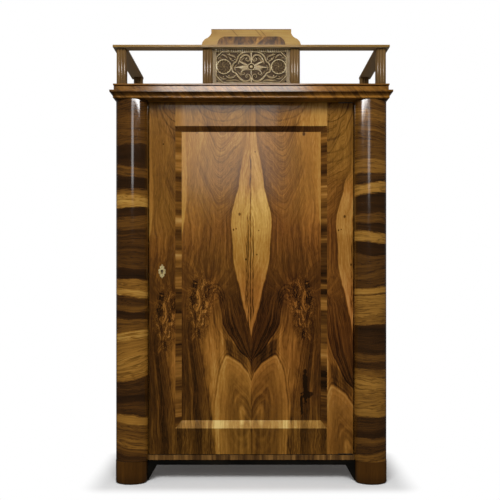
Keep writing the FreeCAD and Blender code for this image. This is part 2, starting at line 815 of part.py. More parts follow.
def cornice_profile(sketch, flip):
    """Section of the cornice; x runs inwards, or outwards where flip is -1."""
    overhang_steps = [
        (dim.cornice_depth, 0),
        (-dim.cove_start, 0),
        (-dim.cove_start, dim.bead_height),
        (-dim.cornice_overhang, dim.bead_height + dim.cove_height),
        (-dim.cornice_overhang, dim.bead_height + dim.cove_height + dim.fillet_height),
        (-dim.band_overhang, dim.bead_height + dim.cove_height + dim.fillet_height),
        (-dim.band_overhang, dim.cornice_height),
        (dim.groove_depth - dim.band_overhang, dim.cornice_height),
        (dim.groove_depth - dim.band_overhang, dim.cornice_height - dim.cornice_rebate),
        (dim.cornice_depth, dim.cornice_height - dim.cornice_rebate),
    ]
    swell = dim.bead_overhang - dim.cove_start
    chord = dim.bead_height / 2
    bead_radius = (chord * chord + swell * swell) / (swell * 2)
    corners = [(x * flip, z) for x, z in overhang_steps]
    outline(sketch, corners, {1: (bead_radius, -flip), 2: (dim.cove_radius, flip)})


def cornice():
    """Front moulding and two returns, cut to each other at 45 degrees."""
    reach = dim.cornice_overhang + dim.overrun
    inner = dim.cornice_depth + dim.overrun
    body = new_body("cornice_front_moulding")
    profile = new_sketch(body, "cornice_front_profile", "YZ_Plane")
    cornice_profile(profile, 1)
    width = (half_body + reach) * 2
    pad(body, profile, width)
    mitre = new_sketch(body, "cornice_front_mitre", "XY_Plane")
    for edge, way in ((as_size(0), 1), (width, -1)):
        far = edge + (reach + inner) * way
        outline(mitre, [(edge - dim.overrun * way, -reach), (edge, -reach), (far, inner), (edge - dim.overrun * way, inner)])
    pocket(body, mitre, dim.cornice_height + dim.overrun, backwards=True)
    place(body, -half_body - reach, 0, dim.carcass_height)
    keep("cornice_front", cut("cornice_front", body, dowel_holes("cornice_front_holes")))

    body = new_body("cornice_left_moulding")
    profile = new_sketch(body, "cornice_left_profile", "XZ_Plane", reach)
    cornice_profile(profile, 1)
    pad(body, profile, dim.body_depth + reach, backwards=True)
    mitre = new_sketch(body, "cornice_left_mitre", "XY_Plane")
    outline(mitre, [(-reach, -reach), (-reach, -reach - dim.overrun), (inner, -reach - dim.overrun), (inner, inner)])
    pocket(body, mitre, dim.cornice_height + dim.overrun, backwards=True)
    place(body, -half_body, 0, dim.carcass_height)
    left = keep("cornice_left", cut("cornice_left", body, dowel_holes("cornice_left_holes")))
    mirror_x("cornice_right", left)

    half = half_body - dim.cornice_depth
    keep("cornice_back", box(
        "cornice_back", half * 2, dim.cornice_back_depth, rebate_floor - dim.carcass_height,
        -half, dim.body_depth - dim.cornice_back_depth, dim.carcass_height,
    ))


def gallery_base():
    half = half_body + dim.slab_overhang
    slab = box(
        "gallery_slab", half * 2, dim.body_depth + dim.slab_overhang, dim.slab_thickness,
        -half, -dim.slab_overhang, slab_bottom,
    )
    inset = dim.groove_depth - dim.band_overhang
    half = half_body - inset - dim.fit_gap
    step = box(
        "gallery_step", half * 2, dim.body_depth - inset - dim.fit_gap, slab_bottom - rebate_floor,
        -half, inset + dim.fit_gap, rebate_floor,
    )
    keep("gallery_base", cut("gallery_base", fuse("gallery_board", slab, step), dowel_holes("base_holes")))


# One reed across a third of a face: shares of its width and of its rise
reed_shares = ((0, 0), (0.2, 0.75), (0.5, 1), (0.8, 0.75))


def reeded_post(label, x, y):
    """Post whose four faces are three reeds each."""
    body = new_body(label + "_bar")
    sketch = new_sketch(body, label + "_plan", "XY_Plane")
    rise = dim.reed_rise
    half_x = dim.post_width / 2 - rise
    half_y = dim.post_depth / 2 - rise
    corners = []
    for side, (across, out) in enumerate([(half_x, half_y), (half_y, half_x), (half_x, half_y), (half_y, half_x)]):
        for third in range(3):
            for along, swell in reed_shares:
                run = across * ((third + along) * 2 / 3 - 1)
                face = out + rise * swell
                corners.append([(run, -face), (face, run), (-run, face), (-face, -run)][side])
    outline(sketch, corners)
    pad(body, sketch, dim.post_height)
    place(body, x, y, slab_top)
    keep(label, cut(label, body, dowel_holes(label + "_holes")))


def gallery_posts():
    for side, sign in (("left", -1), ("right", 1)):
        reeded_post("gallery_front_%s_post" % side, corner_post_x * sign, front_post_y)
        reeded_post("gallery_rear_%s_post" % side, corner_post_x * sign, rear_post_y)
        reeded_post("gallery_centre_%s_post" % side, centre_post_x * sign, front_post_y)


def gallery_rails():
    half = half_body + dim.gallery_rail_overhang
    rear = dim.gallery_rail_width - dim.gallery_rail_overhang
    front = box(
        "front_rail_board", half * 2, dim.gallery_rail_width, dim.gallery_rail_thickness,
        -half, -dim.gallery_rail_overhang, post_top,
    )
    keep("gallery_front_rail", cut("gallery_front_rail", front, dowel_holes("front_rail_holes")))
    side = box(
        "left_rail_board", dim.gallery_rail_width, dim.body_depth - rear, dim.gallery_rail_thickness,
        -half, rear, post_top,
    )
    left = keep("gallery_left_rail", cut("gallery_left_rail", side, dowel_holes("left_rail_holes")))
    mirror_x("gallery_right_rail", left)


# Right half of the strapwork, in shares of the panel's half height.
# Bands run from one end to the other, with an outer and an inner radius; -1 turns the curve over.
inner_band_shares = [
    ((0.16, 0.555), (0.71, 0.25), 0.385, 0.75, -1),
    ((0.11, -0.616), (0.75, -0.33), 0.363, 0.412, 1),
    ((0.33, 0.79), (0.90, 0.14), 0.625, 1.33, -1),
]
outer_band_shares = [
    ((0.79, 0.33), (0.90, -0.36), 0.42, 0.77, -1),
]
volute_shares = [(0.2, 0.436, 0.144), (0.2, -0.518, 0.144)]
petal_share = 0.72
leaf_shares = (0.13, 0.84, 0.575)
drop_share = 0.69
drop_radius_share = 0.055


def strap_bands(sketch, table, unit):
    """Crescent bands of the strapwork on both sides of the middle."""
    for start, end, outer, inner, turn in table:
        for side in (1, -1):
            corners = [(unit * (start[0] * side), unit * start[1]), (unit * (end[0] * side), unit * end[1])]
            outline(sketch, corners, {0: (unit * outer, turn * side), 1: (unit * inner, -turn * side)})


def rosette(sketch, middle):
    """Flower with eight pointed petals."""
    corners = []
    for number in range(16):
        angle = math.pi * number / 8
        reach = dim.rosette_radius * (1 if number % 2 == 0 else petal_share)
        corners.append((middle + reach * math.cos(angle), reach * math.sin(angle)))
    outline(sketch, corners)


def carved_panel():
    """Frame with cut corners, two medallions, hub, leaves, volutes and strap bands."""
    body = new_body("carved_panel")
    half = centre_post_x - dim.post_width / 2
    unit = dim.post_height / 2
    ground = new_sketch(body, "carving_ground", "XZ_Plane", -dim.carving_relief)
    rectangle(ground, -half, -unit, half, unit)
    pad(body, ground, dim.carving_thickness - dim.carving_relief, backwards=True)

    border = new_sketch(body, "carving_border", "XZ_Plane", -dim.carving_relief)
    rectangle(border, -half, -unit, half, unit)
    across = half - dim.carving_border
    up = unit - dim.carving_border
    snip = dim.carving_corner
    outline(border, [
        (snip - across, -up), (across - snip, -up), (across, snip - up), (across, up - snip),
        (across - snip, up), (snip - across, up), (-across, up - snip), (-across, snip - up),
    ])
    pad(body, border, dim.carving_relief)

    figures = new_sketch(body, "carving_figures", "XZ_Plane", -dim.carving_relief)
    for side in (-1, 1):
        middle = dim.medallion_offset * side
        circle(figures, middle, 0, dim.medallion_radius)
        circle(figures, middle, 0, dim.medallion_radius - dim.medallion_ring)
        rosette(figures, middle)
        for x, z, radius in volute_shares:
            circle(figures, unit * (x * side), unit * z, unit * radius)
    circle(figures, 0, 0, dim.hub_radius)
    pad(body, figures, dim.carving_relief)

    straps = new_sketch(body, "carving_straps", "XZ_Plane", -dim.carving_relief)
    strap_bands(straps, inner_band_shares, unit)
    root, tip, leaf_radius = leaf_shares
    for side in (1, -1):
        corners = [(unit * (root * side), 0), (unit * (tip * side), 0)]
        outline(straps, corners, {0: (unit * leaf_radius, 1), 1: (unit * leaf_radius, 1)})
    circle(straps, 0, -unit * drop_share, unit * drop_radius_share)
    pad(body, straps, dim.strap_relief)

    outer_straps = new_sketch(body, "carving_outer_straps", "XZ_Plane", -dim.carving_relief)
    strap_bands(outer_straps, outer_band_shares, unit)
    pad(body, outer_straps, dim.strap_relief)
    place(body, 0, dim.carving_setback, slab_top + unit)
    keep("carved_panel", body)


def crest():
    body = new_body("crest_plank")
    sketch = new_sketch(body, "crest_outline", "XZ_Plane")
    shoulder = dim.crest_height - dim.crest_shoulder
    turn_x = dim.crest_top_half + dim.crest_turn_out
    turn_z = shoulder - dim.crest_turn_drop
    outline(
        sketch,
        [
            (-dim.crest_foot_half, 0),
            (dim.crest_foot_half, 0),
            (turn_x, turn_z),
            (dim.crest_top_half, shoulder),
            (dim.crest_top_half, dim.crest_height),
            (-dim.crest_top_half, dim.crest_height),
            (-dim.crest_top_half, shoulder),
            (-turn_x, turn_z),
        ],
        {
            1: (dim.crest_curve_radius, 1),
            2: (dim.crest_curve_radius, -1),
            6: (dim.crest_curve_radius, -1),
            7: (dim.crest_curve_radius, 1),
        },
    )
    pad(body, sketch, dim.crest_thickness, backwards=True)
    recess = new_sketch(body, "inlay_recess", "XZ_Plane")
    inlay_outline(recess, dim.overrun)
    pocket(body, recess, dim.inlay_thickness)
    place(body, 0, dim.crest_setback, gallery_top)
    keep("crest_board", cut("crest_board", body, dowel_holes("crest_holes")))

    inlay = new_body("crest_inlay")
    field = new_sketch(inlay, "inlay_field", "XZ_Plane")
    inlay_outline(field, 0)
    pad(inlay, field, dim.inlay_thickness, backwards=True)
    place(inlay, 0, dim.crest_setback, gallery_top)
    keep("crest_inlay", inlay)


def inlay_outline(sketch, drop):
    """Field with two round upper corners; drop runs its lower edge past the crest."""
    half = dim.inlay_half
    top = dim.inlay_height
    turn = dim.inlay_radius
    low = -as_size(drop) if drop else 0
    outline(
        sketch,
        [
            (-half, low),
            (half, low),
            (half, top - turn),
            (half - turn, top),
            (turn - half, top),
            (-half, top - turn),
        ],
        {2: (turn, 1), 4: (turn, 1)},
    )


def lock_stile_and_hinge_stile():
    body = new_body("stile")
    sketch = new_sketch(body, "stile_section", "XY_Plane")
    groove_front = dim.panel_recess - dim.fit_gap
    groove_back = dim.panel_recess + dim.panel_thickness + dim.fit_gap
    floor = dim.stile_width - dim.panel_groove
    outline(sketch, [
        (0, 0),
        (dim.stile_width, 0),
        (dim.stile_width, groove_front),
        (floor, groove_front),
        (floor, groove_back),
        (dim.stile_width, groove_back),
        (dim.stile_width, dim.door_thickness),
        (0, dim.door_thickness),
    ])
    pad(body, sketch, door_height)
    place(body, -door_half, dim.door_setback, door_bottom)

    low = dim.lock_height - dim.case_height / 2
    case_recess = box(
        "case_recess",
        dim.case_length + dim.overrun, dim.case_depth + dim.overrun, dim.case_height,
        -case_outer - dim.overrun, case_front, low,
    )
    forend_recess = box(
        "forend_recess",
        dim.forend_thickness + dim.overrun, dim.case_depth + dim.overrun, dim.forend_height,
        -door_half - dim.overrun, case_front, dim.lock_height - dim.forend_height / 2,
    )
    lock_holes = screw_holes("lock_screw_holes", case_screws())
    tools = [case_recess, forend_recess, lock_holes]
    tools += keyhole_tools("stile", dim.door_setback - dim.overrun, case_front + dim.overrun)
    keep("lock_stile", cut("lock_stile", body, *tools))

    image = doc.addObject("Part::Mirroring", "hinge_stile_plank")
    image.Source = body
    image.Normal = Vector(1, 0, 0)
    tools = []
    for name, plate_z, hole_z, face, way in (
        ("lower", door_bottom - dim.overrun, door_bottom, door_bottom, UP),
        ("upper", door_top - dim.plate_thickness, door_top - dim.pin_length - dim.overrun, door_top, DOWN),
    ):
        tools.append(box(
            name + "_socket_recess",
            dim.plate_length, dim.plate_width, dim.plate_thickness + dim.overrun,
            door_half - dim.plate_end_gap - dim.plate_length, pivot_y - dim.plate_width / 2, plate_z,
        ))
        tools.append(prism(
            name + "_pin_hole", dim.pin_hole_radius, dim.pin_length + dim.overrun, pivot_x, pivot_y, hole_z,
        ))
        tools.append(screw_holes(name + "_socket_screw_holes", socket_screws(face, way)))
    keep("hinge_stile", cut("hinge_stile", image, *tools))


def socket_screws(height, way):
    """Screws of a socket plate in the end of the door."""
    return [(point + Vector(-dim.door_gap.value, 0, 0), way) for point, way in plate_screws(height, way)]


def keyhole_tools(name, front, back):
    """Round hole and slot from front to back."""
    hole = doc.addObject("Part::Cylinder", name + "_keyhole_round")
    bind(hole, "Radius", dim.keyhole_radius)
    bind(hole, "Height", back - front)
    place(hole, key_x, back, dim.lock_height)
    hole.Placement.Rotation = FreeCAD.Rotation(Vector(1, 0, 0), 90)
    slot = box(
        name + "_keyhole_slot", dim.keyhole_slot_width, back - front, dim.keyhole_slot_length,
        key_x - dim.keyhole_slot_width / 2, front, dim.lock_height - dim.keyhole_slot_length,
    )
    return [hole, slot]


def door_rails():
    """Grooved rails whose stub tenons fill the grooves of the stiles."""
    groove_front = dim.panel_recess - dim.fit_gap
    groove_back = dim.panel_recess + dim.panel_thickness + dim.fit_gap
    tenon = dim.panel_groove - dim.fit_gap
    for label, width, z, upward in (
        ("door_top_rail", dim.top_rail_width, opening_top, False),
        ("door_bottom_rail", dim.bottom_rail_width, door_bottom, True),
    ):
        body = new_body(label)
        section = new_sketch(body, label + "_section", "YZ_Plane")
        inner = width if upward else as_size(0)
        floor = inner - dim.panel_groove if upward else inner + dim.panel_groove
        outer = as_size(0) if upward else width
        outline(section, [
            (0, inner),
            (groove_front, inner),
            (groove_front, floor),
            (groove_back, floor),
            (groove_back, inner),
            (dim.door_thickness, inner),
            (dim.door_thickness, outer),
            (0, outer),
        ])
        pad(body, section, opening_half * 2)
        stub = new_sketch(body, label + "_tenon", "YZ_Plane", -tenon)
        rectangle(stub, dim.panel_recess, floor, dim.panel_recess + dim.panel_thickness, outer)
        pad(body, stub, opening_half * 2 + tenon * 2)
        place(body, -opening_half, dim.door_setback, z)
        keep(label, body)


def door_panel():
    reach = dim.panel_groove - dim.fit_gap * 2
    half = opening_half + reach
    keep("door_panel", box(
        "door_panel", half * 2, dim.panel_thickness, opening_height + reach * 2,
        -half, dim.door_setback + dim.panel_recess, opening_bottom - reach,
    ))


def bevels():
    """Four sloped mouldings, mitred where they meet."""
    recess = dim.panel_recess
    side = dim.bevel_side_width
    for label, width, z, down in (
        ("bevel_top", dim.bevel_top_width, opening_top, -1),
        ("bevel_bottom", dim.bevel_bottom_width, opening_bottom, 1),
    ):
        body = new_body(label)
        section = new_sketch(body, label + "_section", "YZ_Plane")
        outline(section, [(0, 0), (recess, 0), (recess, width * down)])
        length = opening_half * 2
        pad(body, section, length)
        mitre = new_sketch(body, label + "_mitre", "XZ_Plane")
        for edge, way in ((as_size(0), 1), (length, -1)):
            outline(mitre, [(edge, 0), (edge, width * down), (edge + side * way, width * down)])
        pocket(body, mitre, recess, backwards=False)
        place(body, -opening_half, dim.door_setback, z)
        keep(label, body)

    body = new_body("bevel_left")
    section = new_sketch(body, "bevel_left_section", "XY_Plane")
    outline(section, [(0, 0), (side, recess), (0, recess)])
    pad(body, section, opening_height)
    mitre = new_sketch(body, "bevel_left_mitre", "XZ_Plane")
    top = opening_height
    outline(mitre, [(0, 0), (side, 0), (side, dim.bevel_bottom_width)])
    outline(mitre, [(0, top), (side, top), (side, top - dim.bevel_top_width)])
    pocket(body, mitre, recess, backwards=False)
    place(body, -opening_half, dim.door_setback, opening_bottom)
    keep("bevel_left", body)
    mirror_x("bevel_right", body)


def escutcheon():
    """Pierced brass plate: trefoil crown, horseshoe bow, side lobes and a bottom bead."""
    body = new_body("escutcheon_plate")
    sketch = new_sketch(body, "escutcheon_outline", "XZ_Plane")
    half = dim.escutcheon_half
    tall = dim.escutcheon_height / 2
    right_share = [
        (0.18, -1.0), (0.22, -0.8), (0.62, -0.56), (0.4, -0.36), (1.0, -0.1),
        (1.0, 0.3), (0.55, 0.52), (0.62, 0.74), (0.2, 0.8), (0.2, 1.0),
    ]
    swell_share = {0: 0.5, 1: 0.62, 2: 0.55, 4: 1.1, 6: 0.5, 8: 0.5}
    corners = [(half * across, tall * up) for across, up in right_share]
    corners += [(half * -across, tall * up) for across, up in reversed(right_share)]
    last = len(corners) - 2
    arcs = {}
    for place_on, share in swell_share.items():
        arcs[place_on] = share
        arcs[last - place_on] = share
    arcs[len(right_share) - 1] = 0.5
    arcs[len(corners) - 1] = 0.5
    rounds = {}
    for place_on, share in arcs.items():
        x0, z0 = corners[place_on]
        x1, z1 = corners[(place_on + 1) % len(corners)]
        chord = math.hypot(x1.value - x0.value, z1.value - z0.value)
        rounds[place_on] = (half * max(share, chord / half.value * 0.51), 1)
    outline(sketch, corners, rounds)
    pad(body, sketch, dim.escutcheon_thickness)
    place(body, key_x, dim.door_setback, dim.lock_height - dim.escutcheon_lift)
    front = dim.door_setback - dim.escutcheon_thickness - dim.overrun
    tools = keyhole_tools("escutcheon", front, dim.door_setback + dim.overrun)
    keep("escutcheon", cut("escutcheon", body, *tools))


def lock():
    """Case with its forend, the channel of the bolt and the hollow where the key turns."""
    low = dim.lock_height - dim.case_height / 2
    case = box("lock_case_block", dim.case_length, dim.case_depth, dim.case_height, -case_outer, case_front, low)
    forend = box(
        "lock_forend", dim.forend_thickness, dim.case_depth, dim.forend_height,
        -door_half, case_front, dim.lock_height - dim.forend_height / 2,
    )
    channel_height = dim.bolt_height + dim.bolt_gap * 2
    channel_width = dim.bolt_thickness + dim.bolt_gap * 2
    channel = box(
        "bolt_channel",
        dim.forend_thickness + dim.case_length - dim.case_wall + dim.overrun, channel_width, channel_height,
        -door_half - dim.overrun, bolt_y - channel_width / 2, bolt_z - channel_height / 2,
    )
    key_space = prism(
        "key_space", dim.key_space_radius, channel_width,
        key_x, bolt_y + channel_width / 2, dim.lock_height,
    )
    key_space.Placement.Rotation = FreeCAD.Rotation(Vector(1, 0, 0), 90)
    holes = screw_holes("case_screw_holes", case_screws())
    keyhole = keyhole_tools("case", case_front - dim.overrun, bolt_y)
    keep("lock_case", cut("lock_case", fuse("lock_body", case, forend), channel, key_space, holes, *keyhole))

    bar = box(
        "bolt_bar", dim.bolt_length, dim.bolt_thickness, dim.bolt_height,
        -door_half, bolt_y - dim.bolt_thickness / 2, bolt_z - dim.bolt_height / 2,
    )
    notch = box(
        "bolt_notch", dim.bolt_notch_width, dim.bolt_thickness + dim.overrun * 2, dim.bolt_notch_depth + dim.overrun,
        key_x - dim.bolt_notch_width, bolt_y - dim.bolt_thickness / 2 - dim.overrun,
        bolt_z - dim.bolt_height / 2 - dim.overrun,
    )
    keep("lock_bolt", cut("lock_bolt", bar, notch))


def strike_plate():
    slot_height = dim.bolt_height + dim.mortise_slack * 2
    slot_width = dim.bolt_thickness + dim.mortise_slack * 2
    plate = box(
        "strike_blank", dim.strike_thickness, dim.strike_width, dim.strike_length,
        -pilaster_inner - dim.strike_thickness, bolt_y - dim.strike_width / 2, bolt_z - dim.strike_length / 2,
    )
    slot = box(
        "strike_slot", dim.strike_thickness + dim.overrun * 2, slot_width, slot_height,
        -pilaster_inner - dim.strike_thickness - dim.overrun, bolt_y - slot_width / 2, bolt_z - slot_height / 2,
    )
    keep("strike_plate", cut("strike_plate", plate, slot, screw_holes("strike_plate_holes", strike_screws())))


def pivots():
    """Plates with pins in the frame, and bored socket plates in the door."""
    plate_y = pivot_y - dim.plate_width / 2
    frame_left = plate_outer - dim.plate_length
    collar_height = dim.door_gap - dim.collar_gap
    low = fuse(
        "lower_pivot_blank",
        box("lower_plate", dim.plate_length, dim.plate_width, dim.plate_thickness,
            frame_left, plate_y, base_rail_top - dim.plate_thickness),
        cylinder("lower_collar", dim.collar_radius, collar_height, pivot_x, pivot_y, base_rail_top),
        cylinder("lower_pin", dim.pin_radius, dim.door_gap + dim.pin_length, pivot_x, pivot_y, base_rail_top),
    )
    keep("lower_pivot", cut("lower_pivot", low, screw_holes("lower_pivot_holes", plate_screws(base_rail_top, DOWN))))
    high = fuse(
        "upper_pivot_blank",
        box("upper_plate", dim.plate_length, dim.plate_width, dim.plate_thickness,
            frame_left, plate_y, dim.carcass_height),
        cylinder("upper_pin", dim.pin_radius, dim.door_gap + dim.pin_length,
                 pivot_x, pivot_y, door_top - dim.pin_length),
    )
    keep("upper_pivot", cut("upper_pivot", high, screw_holes("upper_pivot_holes", plate_screws(dim.carcass_height, UP))))

    door_left = door_half - dim.plate_end_gap - dim.plate_length
    for label, z, face, way in (
        ("lower_socket", door_bottom, door_bottom, UP),
        ("upper_socket", door_top - dim.plate_thickness, door_top, DOWN),
    ):
        plate = box(label + "_plate", dim.plate_length, dim.plate_width, dim.plate_thickness, door_left, plate_y, z)
        bore = cylinder(
            label + "_bore", dim.pin_radius + dim.pin_clearance, dim.plate_thickness + dim.overrun * 2,
            pivot_x, pivot_y, z - dim.overrun,
        )
        keep(label, cut(label, plate, bore, screw_holes(label + "_holes", socket_screws(face, way))))


def racks():
    """Toothed racks in the four corners."""
    height = ceiling - floor_top
    body = new_body("rack_front_left")
    strip = new_sketch(body, "rack_strip", "YZ_Plane")
    rectangle(strip, 0, 0, dim.rack_width, height)
    pad(body, strip, dim.rack_thickness)
    notch = new_sketch(body, "rack_notch", "YZ_Plane", dim.rack_thickness)
    root = dim.rack_width - dim.tooth_depth
    rise = (dim.tooth_pitch - dim.tooth_slope) / 2
    outline(notch, [(root, rise), (dim.rack_width, rise), (dim.rack_width, rise + dim.tooth_slope)])
    cutter = pocket(body, notch, dim.rack_thickness)
    pattern = body.newObject("PartDesign::LinearPattern", "rack_teeth")
    pattern.Originals = [cutter]
    pattern.Direction = (notch, ["V_Axis"])
    count = notch_count()
    pattern.Occurrences = count
    bind(pattern, "Length", dim.tooth_pitch * (count - 1))
    body.Tip = pattern
    place(body, -side_inner, dim.pilaster_depth + dim.rack_margin, floor_top)
    keep("rack_front_left", body)
    rear = doc.addObject("Part::Mirroring", "rack_rear_left")
    rear.Source = body
    rear.Normal = Vector(0, 1, 0)
    bind(rear, "Base.y", front_plane + (dim.pilaster_depth + back_front) / 2)
    keep("rack_rear_left", rear)
    mirror_x("rack_front_right", body)
    mirror_x("rack_rear_right", rear)


def notch_count():
    return int((ceiling.value - floor_top.value) // dim.tooth_pitch.value)


def shelf_heights():
    """Height of the underside of each shelf, as notches of the racks give it."""
    count = int(dim.shelf_count.value)
    base = floor_top + (dim.tooth_pitch - dim.tooth_slope) / 2 + dim.bearer_height + dim.bearer_slack
    numbers = [notch_count() * (number + 1) // (count + 1) for number in range(count)]
    return [base + dim.tooth_pitch * number for number in numbers]


def shelf_bearers():
    """Battens whose ends fit the notches of a front and a rear rack."""
    slack = dim.bearer_slack.value
    front = dim.pilaster_depth.value + dim.rack_margin.value + dim.rack_width.value
    rear = dim.pilaster_depth.value + back_front.value - front
    tip = dim.tooth_depth.value - slack
    tall = dim.bearer_height.value
    slope = dim.tooth_depth.value / dim.tooth_slope.value
    lean = tall * slope
    thick = dim.rack_thickness.value - dim.shelf_gap.value
    bars = []
    for top in shelf_heights():
        low = top.value - tall
        for x in (-side_inner.value + dim.shelf_gap.value, side_inner.value - dim.rack_thickness.value):
            corners = [
                Vector(x, front - tip, low),
                Vector(x, rear + tip, low),
                Vector(x, rear + tip - lean, low + tall),
                Vector(x, front - tip + lean, low + tall),
            ]
            face = Part.Face(Part.makePolygon(corners + corners[:1]))
            bars.append(face.extrude(Vector(thick, 0, 0)))
    keep("shelf_bearers", in_code("shelf_bearers", Part.makeCompound(bars)))


def shelves():
    half = side_inner - dim.shelf_gap
    front = dim.pilaster_depth + dim.rack_margin
    rear = back_front - dim.shelf_gap
    notch_x = side_inner - dim.rack_thickness - dim.shelf_gap
    notch_front = dim.rack_width + dim.shelf_gap
    depth = rear - front
    notch_rear = back_front - dim.rack_margin - dim.rack_width - dim.shelf_gap - front
    for number, height in enumerate(shelf_heights(), 1):
        label = "shelf_%d" % number
        body = new_body(label)
        sketch = new_sketch(body, label + "_plan", "XY_Plane")
        outline(sketch, [
            (-notch_x, 0), (notch_x, 0), (notch_x, notch_front), (half, notch_front),
            (half, notch_rear), (notch_x, notch_rear), (notch_x, depth), (-notch_x, depth),
            (-notch_x, notch_rear), (-half, notch_rear), (-half, notch_front), (-notch_x, notch_front),
        ])
        pad(body, sketch, dim.board_thickness)
        place(body, 0, front, height)
        keep(label, body)


def fasteners():
    screw_group(
        "frame_screws",
        plate_screws(base_rail_top, DOWN) + plate_screws(dim.carcass_height, UP) + strike_screws(),
    )
    screw_group(
        "door_screws",
        socket_screws(door_bottom, UP) + socket_screws(door_top, DOWN) + case_screws(),
    )
    keep("dowels", in_code("dowels", Part.makeCompound(dowel_rods())))


def check_document():
    """Stop on any failed object or bad shape."""
    doc.recompute()
    for thing in doc.Objects:
        if "Invalid" in thing.State or "Error" in thing.State:
            raise RuntimeError("failed object: %s %s %s" % (thing.Name, thing.State, thing.getStatusString()))
    for label, thing in nodes.items():
        shape = thing.Shape
        if shape.isNull() or not shape.isValid() or not shape.Solids:
            raise RuntimeError("bad shape: " + label)


def write_parts():
    os.makedirs("parts", exist_ok=True)
    for label, thing in nodes.items():
        thing.Shape.exportStep("parts/%s.step" % label)


pilasters()
feet()
sides()
floor_and_ceiling()
back_boards()
base_rail()
apron()
head_rail()
door_stop()
cornice()
gallery_base()
gallery_posts()
gallery_rails()
carved_panel()
crest()
lock_stile_and_hinge_stile()
door_rails()
door_panel()
bevels()
escutcheon()
lock()
strike_plate()
pivots()
racks()
shelf_bearers()
shelves()
fasteners()
check_document()
write_parts()
print("nodes:", len(nodes))
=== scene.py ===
import math

import bpy
import numpy as np
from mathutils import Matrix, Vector


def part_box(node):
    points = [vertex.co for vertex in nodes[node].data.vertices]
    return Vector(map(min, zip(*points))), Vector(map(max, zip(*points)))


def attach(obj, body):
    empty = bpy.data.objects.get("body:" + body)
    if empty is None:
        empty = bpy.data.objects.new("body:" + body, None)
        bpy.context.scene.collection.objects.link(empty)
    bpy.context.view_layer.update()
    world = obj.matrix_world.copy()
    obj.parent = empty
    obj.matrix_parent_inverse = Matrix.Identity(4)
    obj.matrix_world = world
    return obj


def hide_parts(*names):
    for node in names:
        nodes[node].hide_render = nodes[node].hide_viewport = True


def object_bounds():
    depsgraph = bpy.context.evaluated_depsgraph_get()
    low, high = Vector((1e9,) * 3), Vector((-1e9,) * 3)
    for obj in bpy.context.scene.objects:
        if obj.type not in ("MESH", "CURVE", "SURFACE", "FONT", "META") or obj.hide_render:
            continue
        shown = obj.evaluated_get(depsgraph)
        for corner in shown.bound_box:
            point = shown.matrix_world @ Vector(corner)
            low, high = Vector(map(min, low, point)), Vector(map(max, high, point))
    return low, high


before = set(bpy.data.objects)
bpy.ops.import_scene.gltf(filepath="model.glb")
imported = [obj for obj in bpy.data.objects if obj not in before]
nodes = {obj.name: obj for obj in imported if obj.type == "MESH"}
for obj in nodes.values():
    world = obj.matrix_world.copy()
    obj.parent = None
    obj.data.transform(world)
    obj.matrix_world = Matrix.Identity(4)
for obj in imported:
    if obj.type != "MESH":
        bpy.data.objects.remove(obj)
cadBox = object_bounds()
frontPlane = -0.2365  # foremost line of the two pilasters, in metres
print("frame loaded:", len(nodes), "nodes")


def tone(red, green, blue):  # a colour as a screen shows it, made linear
    linear = []
    for part in (red / 255, green / 255, blue / 255):
        linear.append(part / 12.92 if part < 0.04045 else ((part + 0.055) / 1.055) ** 2.4)
    return (*linear, 1.0)


class Wire:  # a value in a node tree; sums and products of wires place Math nodes
    def __init__(self, socket):
        self.socket = socket
        self.tree = socket.id_data

    def __add__(self, other):
        return calc("ADD", self, other)

    def __radd__(self, other):
        return calc("ADD", other, self)

    def __sub__(self, other):
        return calc("SUBTRACT", self, other)

    def __rsub__(self, other):
        return calc("SUBTRACT", other, self)

    def __mul__(self, other):
        return calc("MULTIPLY", self, other)

    def __truediv__(self, other):
        return calc("DIVIDE", self, other)

    def __pow__(self, other):
        return calc("POWER", self, other)

    def __abs__(self):
        return calc("ABSOLUTE", self)


def feed(socket, value):  # links a wire or an output, and sets anything else
    value = value.socket if isinstance(value, Wire) else value
    if isinstance(value, bpy.types.NodeSocket):
        socket.id_data.links.new(value, socket)
    else:
        socket.default_value = value


def addNode(tree, kind, settings=None, **values):
    made = tree.nodes.new("ShaderNode" + kind)
    for name, value in (settings or {}).items():
        setattr(made, name, value)
    for name, value in values.items():
        feed(made.inputs[name.replace("_", " ")], value)
    return made


def wireFrom(tree, kind, output=0, **values):
    return Wire(addNode(tree, kind, **values).outputs[output])


def combine(kind, settings, sockets, values, output=0):  # a node in its first wire's tree, fed by number
    tree = next(value.tree for value in values if isinstance(value, Wire))
    made = addNode(tree, kind, settings)
    for number, value in zip(sockets, values):
        feed(made.inputs[number], value)
    return Wire(made.outputs[output])


def calc(operation, *values):
    return combine("Math", {"operation": operation}, (0, 1, 2), values)


def blend(factor, first, second):
    return combine("Mix", {"data_type": "FLOAT"}, (0, 2, 3), (factor, first, second))


def mixColour(factor, first, second, how="MIX"):
    return combine("Mix", {"data_type": "RGBA", "blend_type": how}, (0, 6, 7), (factor, first, second),
                   output=2)


def split(vector):
    return [Wire(socket) for socket in addNode(vector.tree, "SeparateXYZ", Vector=vector).outputs]


def join(x, y, z):
    return combine("CombineXYZ", None, (0, 1, 2), (x, y, z))


def ease(value, low, high):  # 0 below low, 1 above high, smooth between
    return combine("MapRange", {"interpolation_type": "SMOOTHSTEP"}, (0, 1, 2), (value, low, high))


def between(value, low, high, soft):
    return ease(value, low - soft, low) * (1.0 - ease(value, high, high + soft))


def noise(vector, stretch, detail=3.0, twist=0.0, shift=(0, 0, 0), rough=0.55):
    mapped = wireFrom(vector.tree, "Mapping", Vector=vector, Scale=stretch, Location=shift)
    return wireFrom(vector.tree, "TexNoise", Vector=mapped, Scale=1.0, Detail=detail, Roughness=rough,
                    Distortion=twist)


def swing(value, amount):  # noise value turned into plus or minus amount
    return (value - 0.5) * (amount * 2)


